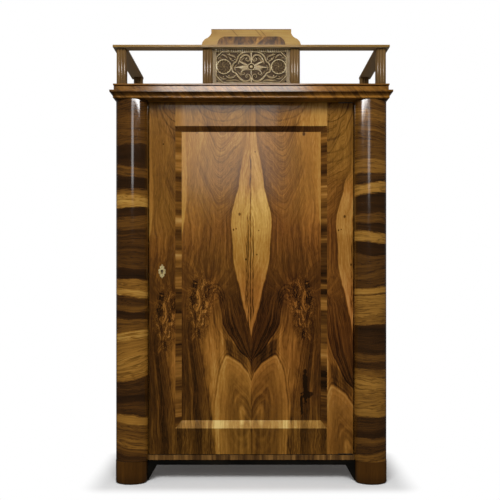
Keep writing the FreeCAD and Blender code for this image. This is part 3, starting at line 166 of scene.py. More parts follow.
def curveLine(value, points):
    made = addNode(value.tree, "FloatCurve", Value=value)
    line = made.mapping.curves[0]
    line.points[0].location = points[0]
    line.points[1].location = points[-1]
    for point in points[1:-1]:
        line.points.new(*point)
    made.mapping.update()
    return Wire(made.outputs[0])


def colourRamp(value, stops, interpolation="LINEAR"):
    made = addNode(value.tree, "ValToRGB", Fac=value)
    made.color_ramp.interpolation = interpolation
    elements = made.color_ramp.elements
    while len(elements) < len(stops):
        elements.new(0.5)
    for element, (position, colour) in zip(elements, stops):
        element.position = position
        element.color = colour
    return Wire(made.outputs[0])


def wiresOf(sockets):
    return {socket.name: Wire(socket) for socket in sockets if socket.name}


def newGroup(name, inputs, outputs):
    tree = bpy.data.node_groups.new(name, "ShaderNodeTree")
    for label, kind, default in inputs:
        socket = tree.interface.new_socket(label, in_out="INPUT", socket_type="NodeSocket" + kind)
        if default is not None:
            socket.default_value = default
    for label, kind in outputs:
        tree.interface.new_socket(label, in_out="OUTPUT", socket_type="NodeSocket" + kind)
    given = wiresOf(tree.nodes.new("NodeGroupInput").outputs)
    return tree, given, tree.nodes.new("NodeGroupOutput").inputs


def useGroup(group, **values):
    tree = next(value.tree for value in values.values() if isinstance(value, Wire))
    made = tree.nodes.new("ShaderNodeGroup")
    made.node_tree = group
    for name, value in values.items():
        feed(made.inputs[name], value)
    return wiresOf(made.outputs)


# Figure of the book-matched sheet: 0 is the darkest wood, 1 the palest sapwood.
# Each line gives (height, distance from the middle) in metres; grain runs between the lines
figureSettings = {
    "height": 1.6,
    "reach": 0.32,
    "outside": 0.31,
    "flameTop": (0.155, 0.735),
    "capMiddle": (0.152, 0.762),
    "bowMiddle": (0.115, 1.575),
    "nestMiddle": (0.038, 0.270),
    "fanMiddle": (0.205, 0.73),
    "lozenge": [(0, 0), (0.584, 0), (0.66, 0.018), (0.738, 0.037), (0.818, 0.056), (0.894, 0.0745),
                (0.95, 0.079), (1.02, 0.082), (1.07, 0.082), (1.13, 0.072), (1.187, 0.060),
                (1.301, 0.040), (1.429, 0.020), (1.549, 0.014), (1.6, 0.012)],
    "veeEdge": [(0, 0), (0.460, 0), (0.517, 0.040), (0.578, 0.078), (0.635, 0.113), (0.700, 0.122),
                (0.745, 0.132), (0.757, 0.149), (0.85, 0.150), (1.0, 0.136), (1.15, 0.132), (1.3, 0.130),
                (1.45, 0.118), (1.6, 0.105)],
    "flameEdge": [(0, 0.160), (0.30, 0.172), (0.413, 0.186), (0.531, 0.210), (0.578, 0.217),
                  (0.659, 0.205), (0.720, 0.191), (0.748, 0.167), (0.757, 0.149), (0.85, 0.150),
                  (1.0, 0.136), (1.15, 0.132), (1.3, 0.130), (1.45, 0.118), (1.6, 0.105)],
    "archOutside": [(0, 0.149), (0.25, 0.151), (0.32, 0.151), (0.39, 0.144), (0.446, 0.135),
                    (0.484, 0.123), (0.515, 0.108), (0.55, 0.090), (1.6, 0.0)],
    # (away, height)
    "archTop": [(0, 0.408), (0.012, 0.437), (0.031, 0.463), (0.059, 0.494), (0.080, 0.511),
                (0.097, 0.520), (0.32, 0.540)],
    "sapwood": [(0, 0.32), (0.92, 0.32), (0.965, 0.296), (1.0, 0.286), (1.06, 0.274), (1.16, 0.266),
                (1.43, 0.270), (1.6, 0.276)],
    "burls": [((0.188, 0.785), (0.070, 0.065)), ((0.215, 0.69), (0.042, 0.135))],  # (middle, half size)
    # (half size, strength)
    "bows": [((0.085, 0.043), 0.17), ((0.104, 0.072), 0.15), ((0.120, 0.105), 0.10),
             ((0.136, 0.145), 0.07)],
    # (share of the arm, width)
    "armLines": [(0.97, 0.035), (0.91, 0.02), (0.85, 0.025), (0.78, 0.02), (0.69, 0.02), (0.58, 0.016),
                 (0.44, 0.016)],
    # (depth in the arch, width, strength)
    "archLines": [(0.0, 0.0045, 0.17), (0.008, 0.0035, -0.06), (0.014, 0.0045, 0.06),
                  (-0.012, 0.004, 0.08), (-0.022, 0.004, 0.05)],
    # (start, end, strength)
    "nestBands": [(0.0, 0.35, -0.02), (0.62, 1.0, 0.11), (1.45, 1.6, 0.06), (2.0, 2.1, 0.05)],
    "burlEyes": [((0.236, 0.735), (0.008, 0.045)), ((0.226, 0.80), (0.006, 0.022)),
                 ((0.214, 0.60), (0.006, 0.022))],
    "lowKnots": [((0.221, 0.385), (0.009, 0.065)), ((0.230, 0.345), (0.020, 0.013)),
                 ((0.206, 0.31), (0.006, 0.05))],
    # (x, bottom, top)
    "heartLines": [(-0.003, 0.66, 1.32), (-0.013, 0.62, 1.06), (0.007, 0.70, 1.05), (-0.020, 0.72, 0.98)],
    "knots": [(-0.048, 1.091, 0.0055), (-0.073, 1.027, 0.004), (-0.062, 1.031, 0.003),
              (0.031, 1.024, 0.003), (0.023, 0.925, 0.0035), (0.016, 1.347, 0.003),
              (-0.022, 0.905, 0.004), (0.216, 1.421, 0.007), (-0.223, 1.425, 0.003)],
}


def edgeLine(level, name):  # distance of one line from the middle at a given height
    top, reach = figureSettings["height"], figureSettings["reach"]
    line = [(height / top, away / reach) for height, away in figureSettings[name]]
    return curveLine(level / top, line) * reach


def above(value, edge, soft):  # 1 where value is past edge
    return ease(value - edge, -soft, soft)


def oval(across, level, middle, size):  # 0 in the middle, 1 on the rim
    return calc("SQRT", ((across - middle[0]) / size[0]) ** 2.0 + ((level - middle[1]) / size[1]) ** 2.0)


def thinLine(value, at, width):
    return 1.0 - ease(abs(value - at), width * 0.25, width)


class Spot:  # a place on the sheet, with the lines and noises that its parts share
    def __init__(self, vector):
        part = split(vector)
        self.vector, self.across, self.height = vector, part[0], part[2]
        self.mirrored = join(abs(self.across), 0.0, self.height)
        self.right = above(self.across, 0.0, 0.0008)
        self.uneven = noise(vector, (5, 5, 4), 2.0, shift=(3, 1, 7))
        self.wander = noise(self.mirrored, (18, 16, 8), 3.0, shift=(1, 2, 3))
        self.lift = noise(self.mirrored, (9, 9, 9), 3.0, shift=(5, 2, 1))
        self.side = abs(self.across) + swing(self.wander, 0.009) + swing(self.uneven, 0.005)
        self.level = self.height + swing(self.lift, 0.012) + swing(self.uneven, 0.012)
        edges = ("lozenge", "veeEdge", "flameEdge", "archOutside", "sapwood")
        self.lines = {name: edgeLine(self.level, name) for name in edges}
        self.mottle = noise(self.mirrored, (120, 1, 45), 3.0, shift=(3, 0, 6))
        self.fleck = noise(vector, (190, 190, 70), 2.0, shift=(1, 0, 4))
        self.knotty = noise(self.mirrored, (24, 1, 15), 4.0, twist=2.6, shift=(7, 0, 2), rough=0.6)
        self.slant = join(self.side + self.height * -0.07, self.right * 0.3, self.height)
        self.flameBroad = noise(self.slant, (28, 1, 3.5), 3.0, twist=0.3, shift=(2, 0, 4))
        self.findFlow()
        self.findParts()

    def findFlow(self):  # how far the spot lies between its two neighbouring lines; streaks keep to it
        lozenge, veeEdge, flameEdge = (self.lines[name] for name in ("lozenge", "veeEdge", "flameEdge"))
        self.pastVee = self.side - veeEdge
        self.armShare = (self.side - lozenge) / calc("MAXIMUM", veeEdge - lozenge, 0.012)
        outShare = (self.side - flameEdge) / (figureSettings["outside"] - flameEdge)
        flow = blend(ease(self.pastVee, -0.001, 0.001), self.armShare, 1.0 + outShare * 1.6)
        drift = swing(noise(self.mirrored, (7, 1, 4.5), 2.0, shift=(8, 0, 3)), 0.35)
        self.along = join(flow + drift * ease(self.height, 0.60, 0.85), self.right * 0.02, self.height)
        self.streak = noise(self.along, (7, 1, 2.2), 4.0, shift=(4, 0, 0))
        self.thread = noise(self.along, (34, 1, 5.0), 3.0, shift=(4, 0, 9))

    def findParts(self):  # masks of the dark arms, the cups, the lozenge and the sapwood
        self.low = 1.0 - ease(self.height, 0.56, 0.90)
        softArm = 0.002 + ease(self.height, 0.72, 0.80) * 0.05
        self.arms = (1.0 - ease(self.pastVee, softArm * -1.0, softArm)) * self.low
        self.near = (1.0 - ease(abs(self.pastVee), 0.045, 0.13)) * ease(self.height, 0.95, 1.2)
        self.pale = ease(self.lines["lozenge"] - self.side, -0.002, 0.003)
        self.sap = above(self.side + self.right * -0.006, self.lines["sapwood"], 0.003)


def straightGrain(spot):  # tone by height, streaks, and fine dark veins that keep to the flow
    broad = noise(spot.along, (2.6, 1, 2.2), 3.0, shift=(2.4, 0, 5.2))
    veins = noise(spot.along, (6, 1, 2.4), 3.0, twist=0.25, shift=(9, 0, 1))
    vein = calc("MAXIMUM", thinLine(veins, 0.44, 0.035), thinLine(veins, 0.56, 0.035))
    vein = calc("MAXIMUM", vein, thinLine(veins, 0.50, 0.028))
    tall = ease(spot.height, 0.80, 1.18)
    straight = (1.0 - spot.near * 0.75) * (1.0 - tall * 0.38)
    straight *= swing(broad, 0.34) + swing(spot.streak, 0.26) + swing(spot.thread, 0.16)
    # the term with (1.0 - spot.right) is a painted sheen that lifts the upper left of the sheet
    figure = (0.42 + tall * 0.18 + ease(spot.height, 1.15, 1.45) * 0.12
              + between(spot.height, 0.88, 1.20, 0.08) * 0.05
              + ease(spot.height, 1.10, 1.40) * (1.0 - spot.right) * 0.05 + straight
              + swing(spot.mottle, 0.10) + swing(spot.fleck, 0.05))
    return figure - vein * blend(spot.near, blend(tall, 0.16, 0.10), 0.05)


def darkArms(spot, figure):  # with lines along them, and a dark cap over each flame
    armTone = -0.08 + spot.right * -0.03 + ease(spot.height, 0.62, 0.56) * 0.04
    figure += spot.arms * armTone
    for at, width in figureSettings["armLines"]:
        shade = thinLine(spot.armShare + swing(spot.thread, 0.05), at, width) * spot.low
        figure -= shade * 0.09
    cap = oval(spot.side, spot.level, figureSettings["capMiddle"], (0.036, 0.060))
    cap += swing(spot.wander, 0.5)
    return figure - (1.0 - ease(cap, 0.7, 1.7)) * (0.16 + spot.right * 0.06)


def goldenFlames(spot, figure):  # and the streaks outside them
    beforeFlameEnd = spot.lines["flameEdge"] - spot.side
    frayed = beforeFlameEnd + swing(noise(spot.mirrored, (60, 1, 14), 3.0, shift=(2, 0, 8)), 0.022)
    inFlame = ease(spot.pastVee, -0.003, 0.004) * ease(frayed, -0.004, 0.006)
    flameFine = noise(spot.slant, (150, 1, 8), 3.0, shift=(2, 0, 4))
    flameVein = thinLine(noise(spot.slant, (40, 1, 5), 3.0, twist=0.3, shift=(6, 0, 4)), 0.5, 0.035)
    gold = (0.63 + swing(spot.flameBroad, 0.46) + swing(flameFine, 0.24) + swing(spot.mottle, 0.10)
            + flameVein * -0.10)
    gold -= thinLine(frayed, 0.004, 0.010) * ease(spot.height, 0.74, 0.5) * 0.10
    gold += (1.0 - spot.right) * 0.03
    gold -= ease(spot.height, 0.56, 0.66) * 0.09
    # lines beside the arms
    for at, strength in ((0.009, 0.08), (0.019, 0.05), (0.031, 0.07), (0.046, 0.04)):
        shade = thinLine(spot.pastVee + swing(spot.thread, 0.004), at, 0.005)
        gold -= shade * between(spot.height, 0.50, 0.70, 0.03) * strength
    figure = blend(inFlame, figure, gold)
    outer = ease(beforeFlameEnd, 0.002, -0.003) * (1.0 - ease(spot.height, 0.58, 0.74))
    figure -= outer * (0.06 - spot.right * 0.06)
    amber = ease(spot.side, 0.19, 0.25) * ease(spot.height, 0.95, 1.15)
    return figure + amber * (0.06 + spot.right * 0.07)


def burlFan(spot, figure):  # lines that fan up out of the burls
    fanX = spot.side - figureSettings["fanMiddle"][0]
    fanZ = spot.level - figureSettings["fanMiddle"][1]
    fanAway = calc("SQRT", fanX * fanX + fanZ * fanZ)
    fanTurn = calc("ARCTAN2", fanX, fanZ) + fanAway * -1.5
    fan = noise(join(fanTurn, spot.right * 0.04, fanAway), (5, 1, 5), 3.0, twist=0.3, shift=(2, 0, 6))
    fanMask = (1.0 - ease(fanAway, 0.10, 0.27)) * ease(fanZ, 0.0, 0.06)
    fanned = (0.45 + spot.right * -0.05 + swing(fan, 0.42) + thinLine(fan, 0.5, 0.03) * -0.12
              + swing(spot.mottle, 0.10))
    return blend(fanMask * 0.7, figure, fanned)


def stackedCups(spot, figure):  # of the upper half, steeper away from the lozenge
    bend = calc("SQRT", spot.pastVee * spot.pastVee + 0.0006) - 0.0245
    steep = blend(ease(spot.pastVee, -0.02, 0.02), -1.5, -2.6)
    cup = spot.level + bend * steep + swing(spot.wander, 0.03)
    cups = join(spot.pastVee * 2.0, spot.right * 0.04, cup)
    cupLines = noise(cups, (1.5, 1, 62), 3.0, shift=(1, 0, 3))
    cupBands = noise(cups, (1.5, 1, 18), 2.0, shift=(1, 0, 3))
    cupVein = calc("MAXIMUM", thinLine(cupLines, 0.46, 0.05), thinLine(cupLines, 0.60, 0.04))
    cupped = swing(cupLines, 0.14) + swing(cupBands, 0.24) + cupVein * -0.11
    figure += spot.near * cupped
    for size, strength in figureSettings["bows"]:
        bow = oval(spot.side, spot.level, figureSettings["bowMiddle"], size) + swing(spot.lift, 0.10)
        figure -= thinLine(bow, 1.0, 0.045) * strength
    slanting = thinLine(spot.side + (1.555 - spot.height) * 0.42, 0.228, 0.004)
    return figure - slanting * ease(spot.height, 1.30, 1.42) * 0.12


def nestedArches(spot, figure):  # at the foot, with a thin dark outline
    archLine = [(away / figureSettings["reach"], top) for away, top in figureSettings["archTop"]]
    underArch = curveLine(spot.side / figureSettings["reach"], archLine) - spot.level
    depth = calc("SMOOTH_MIN", underArch * 0.62, spot.lines["archOutside"] - spot.side, 0.014)
    within = ease(depth, -0.001, 0.001)
    rings = noise(join(depth, spot.right * 0.3, spot.height * 0.4), (75, 1, 3), 3.0, shift=(6, 0, 2))
    arch = (0.74 + ease(depth, 0.015, 0.060) * -0.15 + swing(rings, 0.30) + swing(spot.mottle, 0.12)
            + swing(spot.flameBroad, 0.20) + spot.right * -0.06)
    nest = oval(spot.side, spot.level, figureSettings["nestMiddle"], (0.032, 0.080))
    nest += swing(spot.uneven, 0.3)
    for start, end, strength in figureSettings["nestBands"]:
        arch -= between(nest, start, end, 0.25) * strength
    figure = blend(within, figure, arch)
    inArches = ease(spot.level, 0.56, 0.53)
    over = between(depth, -0.030, -0.002, 0.008) * ease(spot.side, 0.125, 0.095)
    figure -= over * ease(spot.level, 0.42, 0.46) * (0.18 + spot.right * 0.09)
    for at, width, strength in figureSettings["archLines"]:
        shade = thinLine(depth + swing(spot.mottle, 0.003), at, width) * inArches
        figure -= shade * strength
    return figure - thinLine(spot.side, 0.0, 0.004) * ease(spot.height, 0.60, 0.45) * 0.10


def curledBurls(spot, figure):  # where the arms open: curling dark lines with pale rims
    curl = calc("MAXIMUM", thinLine(spot.knotty, 0.44, 0.03), thinLine(spot.knotty, 0.56, 0.03))
    curl = calc("MAXIMUM", curl, thinLine(spot.knotty, 0.50, 0.02))
    rims = calc("MAXIMUM", thinLine(spot.knotty, 0.47, 0.022), thinLine(spot.knotty, 0.60, 0.022))
    deep = ease(noise(spot.mirrored, (26, 1, 13), 3.0, twist=1.2, shift=(1, 0, 2)), 0.56, 0.68)
    curls = (0.49 + spot.right * -0.05 + swing(spot.knotty, 0.7) + curl * -0.30 + rims * 0.20
             + deep * -0.16)
    burl = 0.0
    for middle, size in figureSettings["burls"]:
        reach = oval(spot.side, spot.level, middle, size) + swing(spot.lift, 1.0)
        burl = calc("MAXIMUM", burl, 1.0 - ease(reach, 0.5, 1.4))
    figure = blend(burl * 0.92, figure, curls)
    for middle, size in figureSettings["burlEyes"]:
        eye = oval(spot.side + swing(spot.knotty, 0.03), spot.level, middle, size)
        figure -= (1.0 - ease(eye, 0.6, 1.3)) * 0.26
    return figure


def flameBows(spot, figure):  # dark lines that bend over the top of each flame
    for size in ((0.031, 0.036), (0.038, 0.056), (0.047, 0.072)):
        bow = oval(spot.side, spot.level, figureSettings["flameTop"], size) + swing(spot.wander, 0.25)
        figure -= thinLine(bow, 1.0, 0.075) * ease(spot.level, 0.725, 0.750) * 0.12
    return figure


def paleLozenge(spot, figure):  # sapwood at the outer edges, then the pale lozenge over all
    hair = noise(spot.mirrored, (420, 1, 9.0), 2.0, shift=(4, 0, 9))
    figure = blend(spot.sap, figure, 0.80 + swing(spot.thread, 0.10) + swing(spot.mottle, 0.10))
    besides = spot.side - spot.lines["lozenge"]
    rim = between(besides, 0.0, 0.006, 0.010) * ease(spot.lines["lozenge"], 0.004, 0.02)
    figure -= rim * 0.08
    dim = (1.0 - ease(besides, 0.006, 0.050)) * between(spot.height, 0.95, 1.30, 0.10)
    figure -= dim * 0.07
    glow = between(spot.height, 1.03, 1.16, 0.05)
    light = (0.65 + ease(spot.height, 0.85, 0.72) * 0.10 + ease(spot.height, 0.70, 1.05) * 0.09
             + spot.right * (ease(spot.height, 0.75, 0.95) * 0.10)
             + ease(spot.height, 1.12, 1.30) * -0.05)
    light = (light + swing(spot.streak, 0.26) + swing(hair, 0.16) + swing(spot.uneven, 0.18)
             + swing(spot.mottle, 0.08) + glow * 0.05 + swing(spot.fleck, 0.08))
    return blend(spot.pale, figure, light)


def heartLines(spot, figure):  # and pin knots of the lozenge
    dash = noise(spot.vector, (260, 1, 22), 2.0, shift=(0, 0, 3))
    bowed = spot.across + swing(noise(spot.vector, (1, 1, 11), 2.0), 0.008)
    for at, bottom, top in figureSettings["heartLines"]:
        line = thinLine(bowed, at, 0.0042) * ease(dash, 0.36, 0.52)
        line *= between(spot.height, bottom, top, 0.04)
        figure -= line * 0.40
    for x, z, size in figureSettings["knots"]:
        pin = oval(spot.across, spot.height, (x, z), (size, size * 1.3))
        figure -= (1.0 - ease(pin, 0.5, 1.2)) * 0.42
    return figure


def lowKnot(spot, figure):  # long and dark, on the right
    for middle, size in figureSettings["lowKnots"]:
        knot = oval(spot.across, spot.level, middle, size) + swing(spot.knotty, 1.3)
        figure -= (1.0 - ease(knot, 0.7, 1.2)) * 0.36
    return figure


def warmth(spot):  # how red the wood is: arms and right leaf more, lozenge and outer sapwood less
    hue = noise(spot.mirrored, (7, 1, 5), 3.0, shift=(3, 0, 2))
    warm = (0.30 + swing(hue, 0.4) + spot.arms * 0.22 + spot.right * 0.22
            + between(spot.height, 0.80, 1.02, 0.1) * 0.2 + between(spot.height, 0.48, 0.72, 0.08) * 0.14)
    palest = calc("MAXIMUM", spot.pale, spot.sap)
    warm *= 1.0 - palest * 0.85
    cooler = 0.34 + ease(spot.height, 1.02, 0.86) * 0.22
    warm += palest * (1.0 - between(spot.height, 0.95, 1.05, 0.2)) * cooler
    warm *= 1.0 - ease(spot.height, 1.08, 1.35) * 0.35
    warm *= 0.5 + ease(spot.height, 0.2, 0.4) * 0.5
    return warm


figureParts = (darkArms, goldenFlames, burlFan, stackedCups, nestedArches, curledBurls, flameBows,
               paleLozenge, heartLines, lowKnot)  # each laid over the ones before it


def buildDoorFigure():
    group, given, result = newGroup("bookMatchedFigure", [("Vector", "Vector", None)],
                                    [("Figure", "Float"), ("Warm", "Float")])
    spot = Spot(given["Vector"])
    figure = straightGrain(spot)
    for addPart in figureParts:
        figure = addPart(spot, figure)
    feed(result["Figure"], figure - spot.right * 0.02)
    feed(result["Warm"], warmth(spot))
    return group


# Cross-banded veneer of the pilasters: fine lines laid over the tone of the broad bands
def buildCrossBands():
    group, given, result = newGroup("crossBands", [("Vector", "Vector", None), ("Broad", "Float", 0.4),
                                                   ("Streaks", "Float", 0.25)], [("Figure", "Float")])
    ribbon = noise(given["Vector"], (2.0, 2.0, 42), 3.0, shift=(2, 0, 0))
    thread = noise(given["Vector"], (5, 5, 210), 3.0, shift=(0, 4, 0))
    veins = noise(given["Vector"], (3.5, 3.5, 60), 3.0, twist=0.4, shift=(3, 4, 6))
    vein = calc("MAXIMUM", thinLine(veins, 0.5, 0.03), thinLine(veins, 0.58, 0.025))
    figure = given["Broad"] + (ribbon - 0.5) * given["Streaks"] + swing(thread, 0.17)
    figure -= vein * (given["Broad"] * 0.30)
    feed(result["Figure"], figure)
    return group


woodTones = [(0.0, tone(30, 17, 4)), (0.18, tone(52, 30, 8)), (0.36, tone(84, 52, 17)),
             (0.54, tone(120, 78, 27)), (0.72, tone(156, 106, 43)), (0.88, tone(184, 138, 69)),
             (1.0, tone(206, 165, 93))]
yellower, redder = (1.0, 1.08, 0.97, 1), (1.02, 0.82, 0.84, 1)  # what warmth 0 and 1 do to the colour


# Turns a figure into polished wood: colour, roughness and the height of open pores
def buildPolishedWood():
    group, given, result = newGroup(
        "polishedWood",
        [("Figure", "Float", 0.5), ("Vector", "Vector", None), ("Stretch", "Vector", (300, 300, 8)),
         ("Tint", "Color", (1, 1, 1, 1)), ("Warm", "Float", 0.3), ("Gloss", "Float", 0.3),
         ("Age", "Float", 0.5)],
        [("Color", "Color"), ("Roughness", "Float"), ("Height", "Float")],
    )
    scaled = combine("VectorMath", {"operation": "MULTIPLY"}, (0, 1), (given["Vector"], given["Stretch"]))
    fibre = wireFrom(group, "TexNoise", Vector=scaled, Scale=1.0, Detail=4.0, Roughness=0.6)
    holes = wireFrom(group, "TexNoise", Vector=scaled, Scale=2.6, Detail=2.0, Roughness=0.5)
    pores = ease(holes, 0.60, 0.74)
    colour = colourRamp(given["Figure"] + swing(fibre, 0.09) + pores * -0.08, woodTones)
    colour = mixColour(1.0, colour, mixColour(given["Warm"], yellower, redder), "MULTIPLY")
    colour = mixColour(1.0, colour, given["Tint"], "MULTIPLY")
    cloud = noise(given["Vector"], (2.3, 2.3, 2.3), 3.0, shift=(8, 8, 8))
    grime = noise(given["Vector"], (30, 30, 30), 5.0, shift=(2, 8, 4))
    aged = ease(cloud, 0.45, 0.75) * ease(grime, 0.4, 0.8) * given["Age"]
    colour = mixColour(aged * 0.35, colour, tone(60, 40, 20))
    # painted shade: wood within 5 cm of the floor is darkened
    low = 1.0 - ease(split(given["Vector"])[2], 0.0, 0.05)
    colour = mixColour(low * 0.45, colour, tone(26, 17, 9))
    rub = noise(given["Vector"], (55, 55, 55), 4.0, shift=(1, 3, 1))
    rough = given["Gloss"] + swing(rub, 0.06) + aged * 0.22 + pores * 0.08
    feed(result["Color"], colour)
    feed(result["Roughness"], rough)
    feed(result["Height"], swing(fibre, 0.2) - pores)
    return group


# Dust on faces that look up, thicker in some places than others; painted reflection makes faces that look
# down paler
def buildDustAndUnderSheen():
    group, given, result = newGroup("dustAndUnderSheen", [("Color", "Color", None), ("Roughness", "Float", 0.3),
                                                    ("Amount", "Float", 0.4), ("Bare", "Float", 0.0)],
                                    [("Color", "Color"), ("Roughness", "Float")])
    up = split(wireFrom(group, "NewGeometry", "Normal"))[2]
    patch = noise(wireFrom(group, "TexCoord", "Object"), (14, 14, 14), 5.0, shift=(4, 4, 4))
    mask = ease(up, 0.75, 0.98) * ease(patch, 0.25, 0.8) * given["Amount"]
    # painted reflection: faces that look down are mixed towards a pale colour, as if they mirrored the
    # bright room
    paintedUnderSheen = ease(up, -0.5, -0.9) * given["Bare"]
    colour = mixColour(paintedUnderSheen, given["Color"], tone(200, 184, 150))
    feed(result["Color"], mixColour(mask, colour, tone(150, 138, 118)))
    feed(result["Roughness"], blend(mask, given["Roughness"], 0.85))
    return group


doorFigure = buildDoorFigure()
crossBands = buildCrossBands()
polishedWood = buildPolishedWood()
dustAndUnderSheen = buildDustAndUnderSheen()
print("node groups ready")


def emptyTree(owner):
    owner.use_nodes = True
    owner.node_tree.nodes.clear()
    return owner.node_tree


def newMaterial(name):
    material = bpy.data.materials.new(name)
    tree = emptyTree(material)
    shader = addNode(tree, "BsdfPrincipled")
    feed(addNode(tree, "OutputMaterial").inputs["Surface"], shader.outputs[0])
    return material, shader.inputs, wireFrom(tree, "TexCoord", "Object")


def roughen(shader, height, strength, distance=0.0006):
    feed(shader["Normal"], wireFrom(height.tree, "Bump", Height=height, Strength=strength,
                                    Distance=distance))


# fibre of the veneer: few repeats along the grain, many across it
grainUp, grainAcross, grainBanded = (330, 330, 9), (9, 330, 330), (9, 9, 330)
polishDefaults = {"stretch": grainUp, "tint": (1, 1, 1, 1), "gloss": 0.3, "age": 0.5, "coat": 0.7,
                  "coatRough": 0.055, "coatIor": 1.5, "specular": 0.06, "dust": 0.35, "bare": 0.0,
                  "bump": 0.12}


def woodMaterial(name, makeFigure, **changes):
    look = {**polishDefaults, **changes}
    material, shader, where = newMaterial(name)
    figure, warm = makeFigure(where)
    wood = useGroup(polishedWood, Figure=figure, Warm=warm, Vector=where, Stretch=look["stretch"],
                    Tint=look["tint"], Gloss=look["gloss"], Age=look["age"])
    dustAndSheen = useGroup(dustAndUnderSheen, Color=wood["Color"], Roughness=wood["Roughness"], Amount=look["dust"],
                     Bare=look["bare"])
    feed(shader["Base Color"], dustAndSheen["Color"])
    feed(shader["Roughness"], dustAndSheen["Roughness"])
    roughen(shader, wood["Height"], look["bump"])
    shader["Specular IOR Level"].default_value = look["specular"]
    shader["Coat Weight"].default_value = look["coat"]
    shader["Coat Roughness"].default_value = look["coatRough"]
    shader["Coat IOR"].default_value = look["coatIor"]
    return material


def moved(where, location):
    return wireFrom(where.tree, "Mapping", Vector=where, Location=location)


def plainFigure(base, stretch, amount, fine, shift=(0, 0, 0)):  # straight grain, broad and fine
    def make(where):
        broad = noise(where, stretch, 3.0, twist=0.4, shift=shift)
        thin = noise(where, tuple(size * 6 for size in stretch), 3.0, shift=shift)
        return base + swing(broad, amount) + swing(thin, fine), 0.25
    return make


doorInside = -0.149  # y just in front of the door's inner face


def doorLeaf(where, lighter=0.0):  # plain veneer on the inside of the door
    leaf = useGroup(doorFigure, Vector=where)
    part = split(where)
    inside = ease(part[1], doorInside - 0.0005, doorInside + 0.0005)
    plain = plainFigure(0.60, (22, 22, 1.6), 0.16, 0.1, (6, 1, 2))(where)[0]
    return blend(inside, leaf["Figure"] + lighter, plain), blend(inside, leaf["Warm"], 0.25)


def railFigure(where):  # painted shade makes the upper rail darker than the lower, but for its right end, which is painted a little lighter
    part = split(where)
    shade = blend(ease(part[0], 0.06, 0.24), -0.11, 0.035)
    return doorLeaf(where, ease(part[2], 0.6, 1.0) * shade)


def bevelFigure(where):  # painted light: paler because it is tilted up to the light
    return doorLeaf(where, 0.30)[0], 0.0


def shadedBevelFigure(where):  # faces the floor, so painted shade darkens it
    return doorLeaf(where, -0.33)


def sideBevelFigure(where):  # the right one in a little more shade
    figure, warm = plainFigure(0.46, (1, 1, 17), 1.0, 0.24)(where)
    right = ease(split(where)[0], -0.1, 0.1)
    return figure - right * 0.045, warm


# the line gives (height on the stile, height of the sheet that is laid there), all in metres
stileSettings = {
    "leftShift": (0.136, 0, 0.05),
    "rightMiddle": 0.429,
    "line": [(0, 0.13), (0.3, 0.43), (0.5, 0.59), (0.64, 0.67), (0.90, 0.92), (0.98, 0.98), (1.06, 1.07),
             (1.145, 1.16), (1.212, 1.24), (1.27, 1.38), (1.353, 1.48), (1.48, 1.54), (1.6, 1.6)],
}


def leftStileFigure(where):  # the leaf beside the panel's left edge
    height = split(where)[2]
    up = ease(height, 0.95, 1.4)
    leaf = moved(where, stileSettings["leftShift"])
    figure, warm = doorLeaf(leaf, up * -0.15 + ease(height, 0.5, 0.8) * -0.04)
    return figure, warm + 0.1


def rightStileFigure(where):  # half the lozenge of a shorter leaf
    part = split(where)
    height = part[2]
    sheet = figureSettings["height"]
    line = curveLine(height / sheet, [(low / sheet, high / sheet) for low, high in stileSettings["line"]])
    spot = join(part[0] - stileSettings["rightMiddle"], part[1], line * sheet)
    middle = ease(height, 0.76, 1.00) * -0.13
    upper = ease(height, 1.15, 1.35)
    overFoot = ease(height, 0.40, 0.56) * 0.09
    figure, warm = doorLeaf(spot, overFoot + middle + upper * -0.12)
    return figure, (warm + (0.10 + ease(height, 0.42, 0.60) * 0.12)) * (1.0 - upper)


# bands of the pilasters: (height of the lower edge in metres, tone)
leftBands = [(0, 0.26), (0.113, 0.36), (0.146, 0.50), (0.182, 0.42), (0.238, 0.58), (0.274, 0.26),
             (0.326, 0.17), (0.359, 0.24), (0.419, 0.50), (0.443, 0.57), (0.521, 0.52), (0.576, 0.64),
             (0.612, 0.42), (0.664, 0.18), (0.694, 0.38), (0.724, 0.26), (0.753, 0.62), (0.777, 0.50),
             (0.821, 0.16), (0.867, 0.31), (0.925, 0.26), (1.022, 0.36), (1.070, 0.18), (1.108, 0.62),
             (1.163, 0.43), (1.193, 0.15), (1.239, 0.36), (1.277, 0.18), (1.360, 0.32), (1.432, 0.33),
             (1.504, 0.29)]
rightBands = [(0, 0.42), (0.121, 0.24), (0.151, 0.32), (0.182, 0.16), (0.216, 0.22), (0.274, 0.52),
              (0.318, 0.48), (0.379, 0.54), (0.427, 0.40), (0.457, 0.20), (0.491, 0.32), (0.521, 0.17),
              (0.640, 0.46), (0.674, 0.50), (0.729, 0.56), (0.757, 0.30), (0.765, 0.56), (0.793, 0.26),
              (0.829, 0.31), (0.925, 0.14), (0.964, 0.58), (1.012, 0.18), (1.050, 0.34), (1.084, 0.18),
              (1.165, 0.58), (1.207, 0.24), (1.249, 0.47), (1.303, 0.36), (1.464, 0.43), (1.504, 0.35)]


bandScale = 1.6  # height in metres at the end of the ramp


def pilasterFigure(bands, streaks, centre, lighter=0.0):
    def make(where):
        part = split(where)
        tilt = swing(noise(where, (0, 0, 5), 2.0, shift=(centre, 3, 2)), 0.55)
        wave = swing(noise(where, (7, 7, 9), 2.0, shift=(6, 3, 2)), 0.016)
        feather = swing(noise(where, (24, 24, 300), 3.0, shift=(6, 3, 2)), 0.007)
        level = part[2] + wave + tilt * (part[0] - centre)
        stops = [(height / bandScale, (value, value, value, 1)) for height, value in bands]
        tones = [colourRamp((level + feather + offset) / bandScale, stops, "CONSTANT")
                 for offset in (0.0, 0.004)]
        broad = blend(0.5, *tones) * 1.45 + (lighter - 0.12)
        bent = join(part[0], part[1], level)
        banded = useGroup(crossBands, Vector=bent, Broad=broad, Streaks=streaks)
        return banded["Figure"], 0.45 - broad * 0.6
    return make


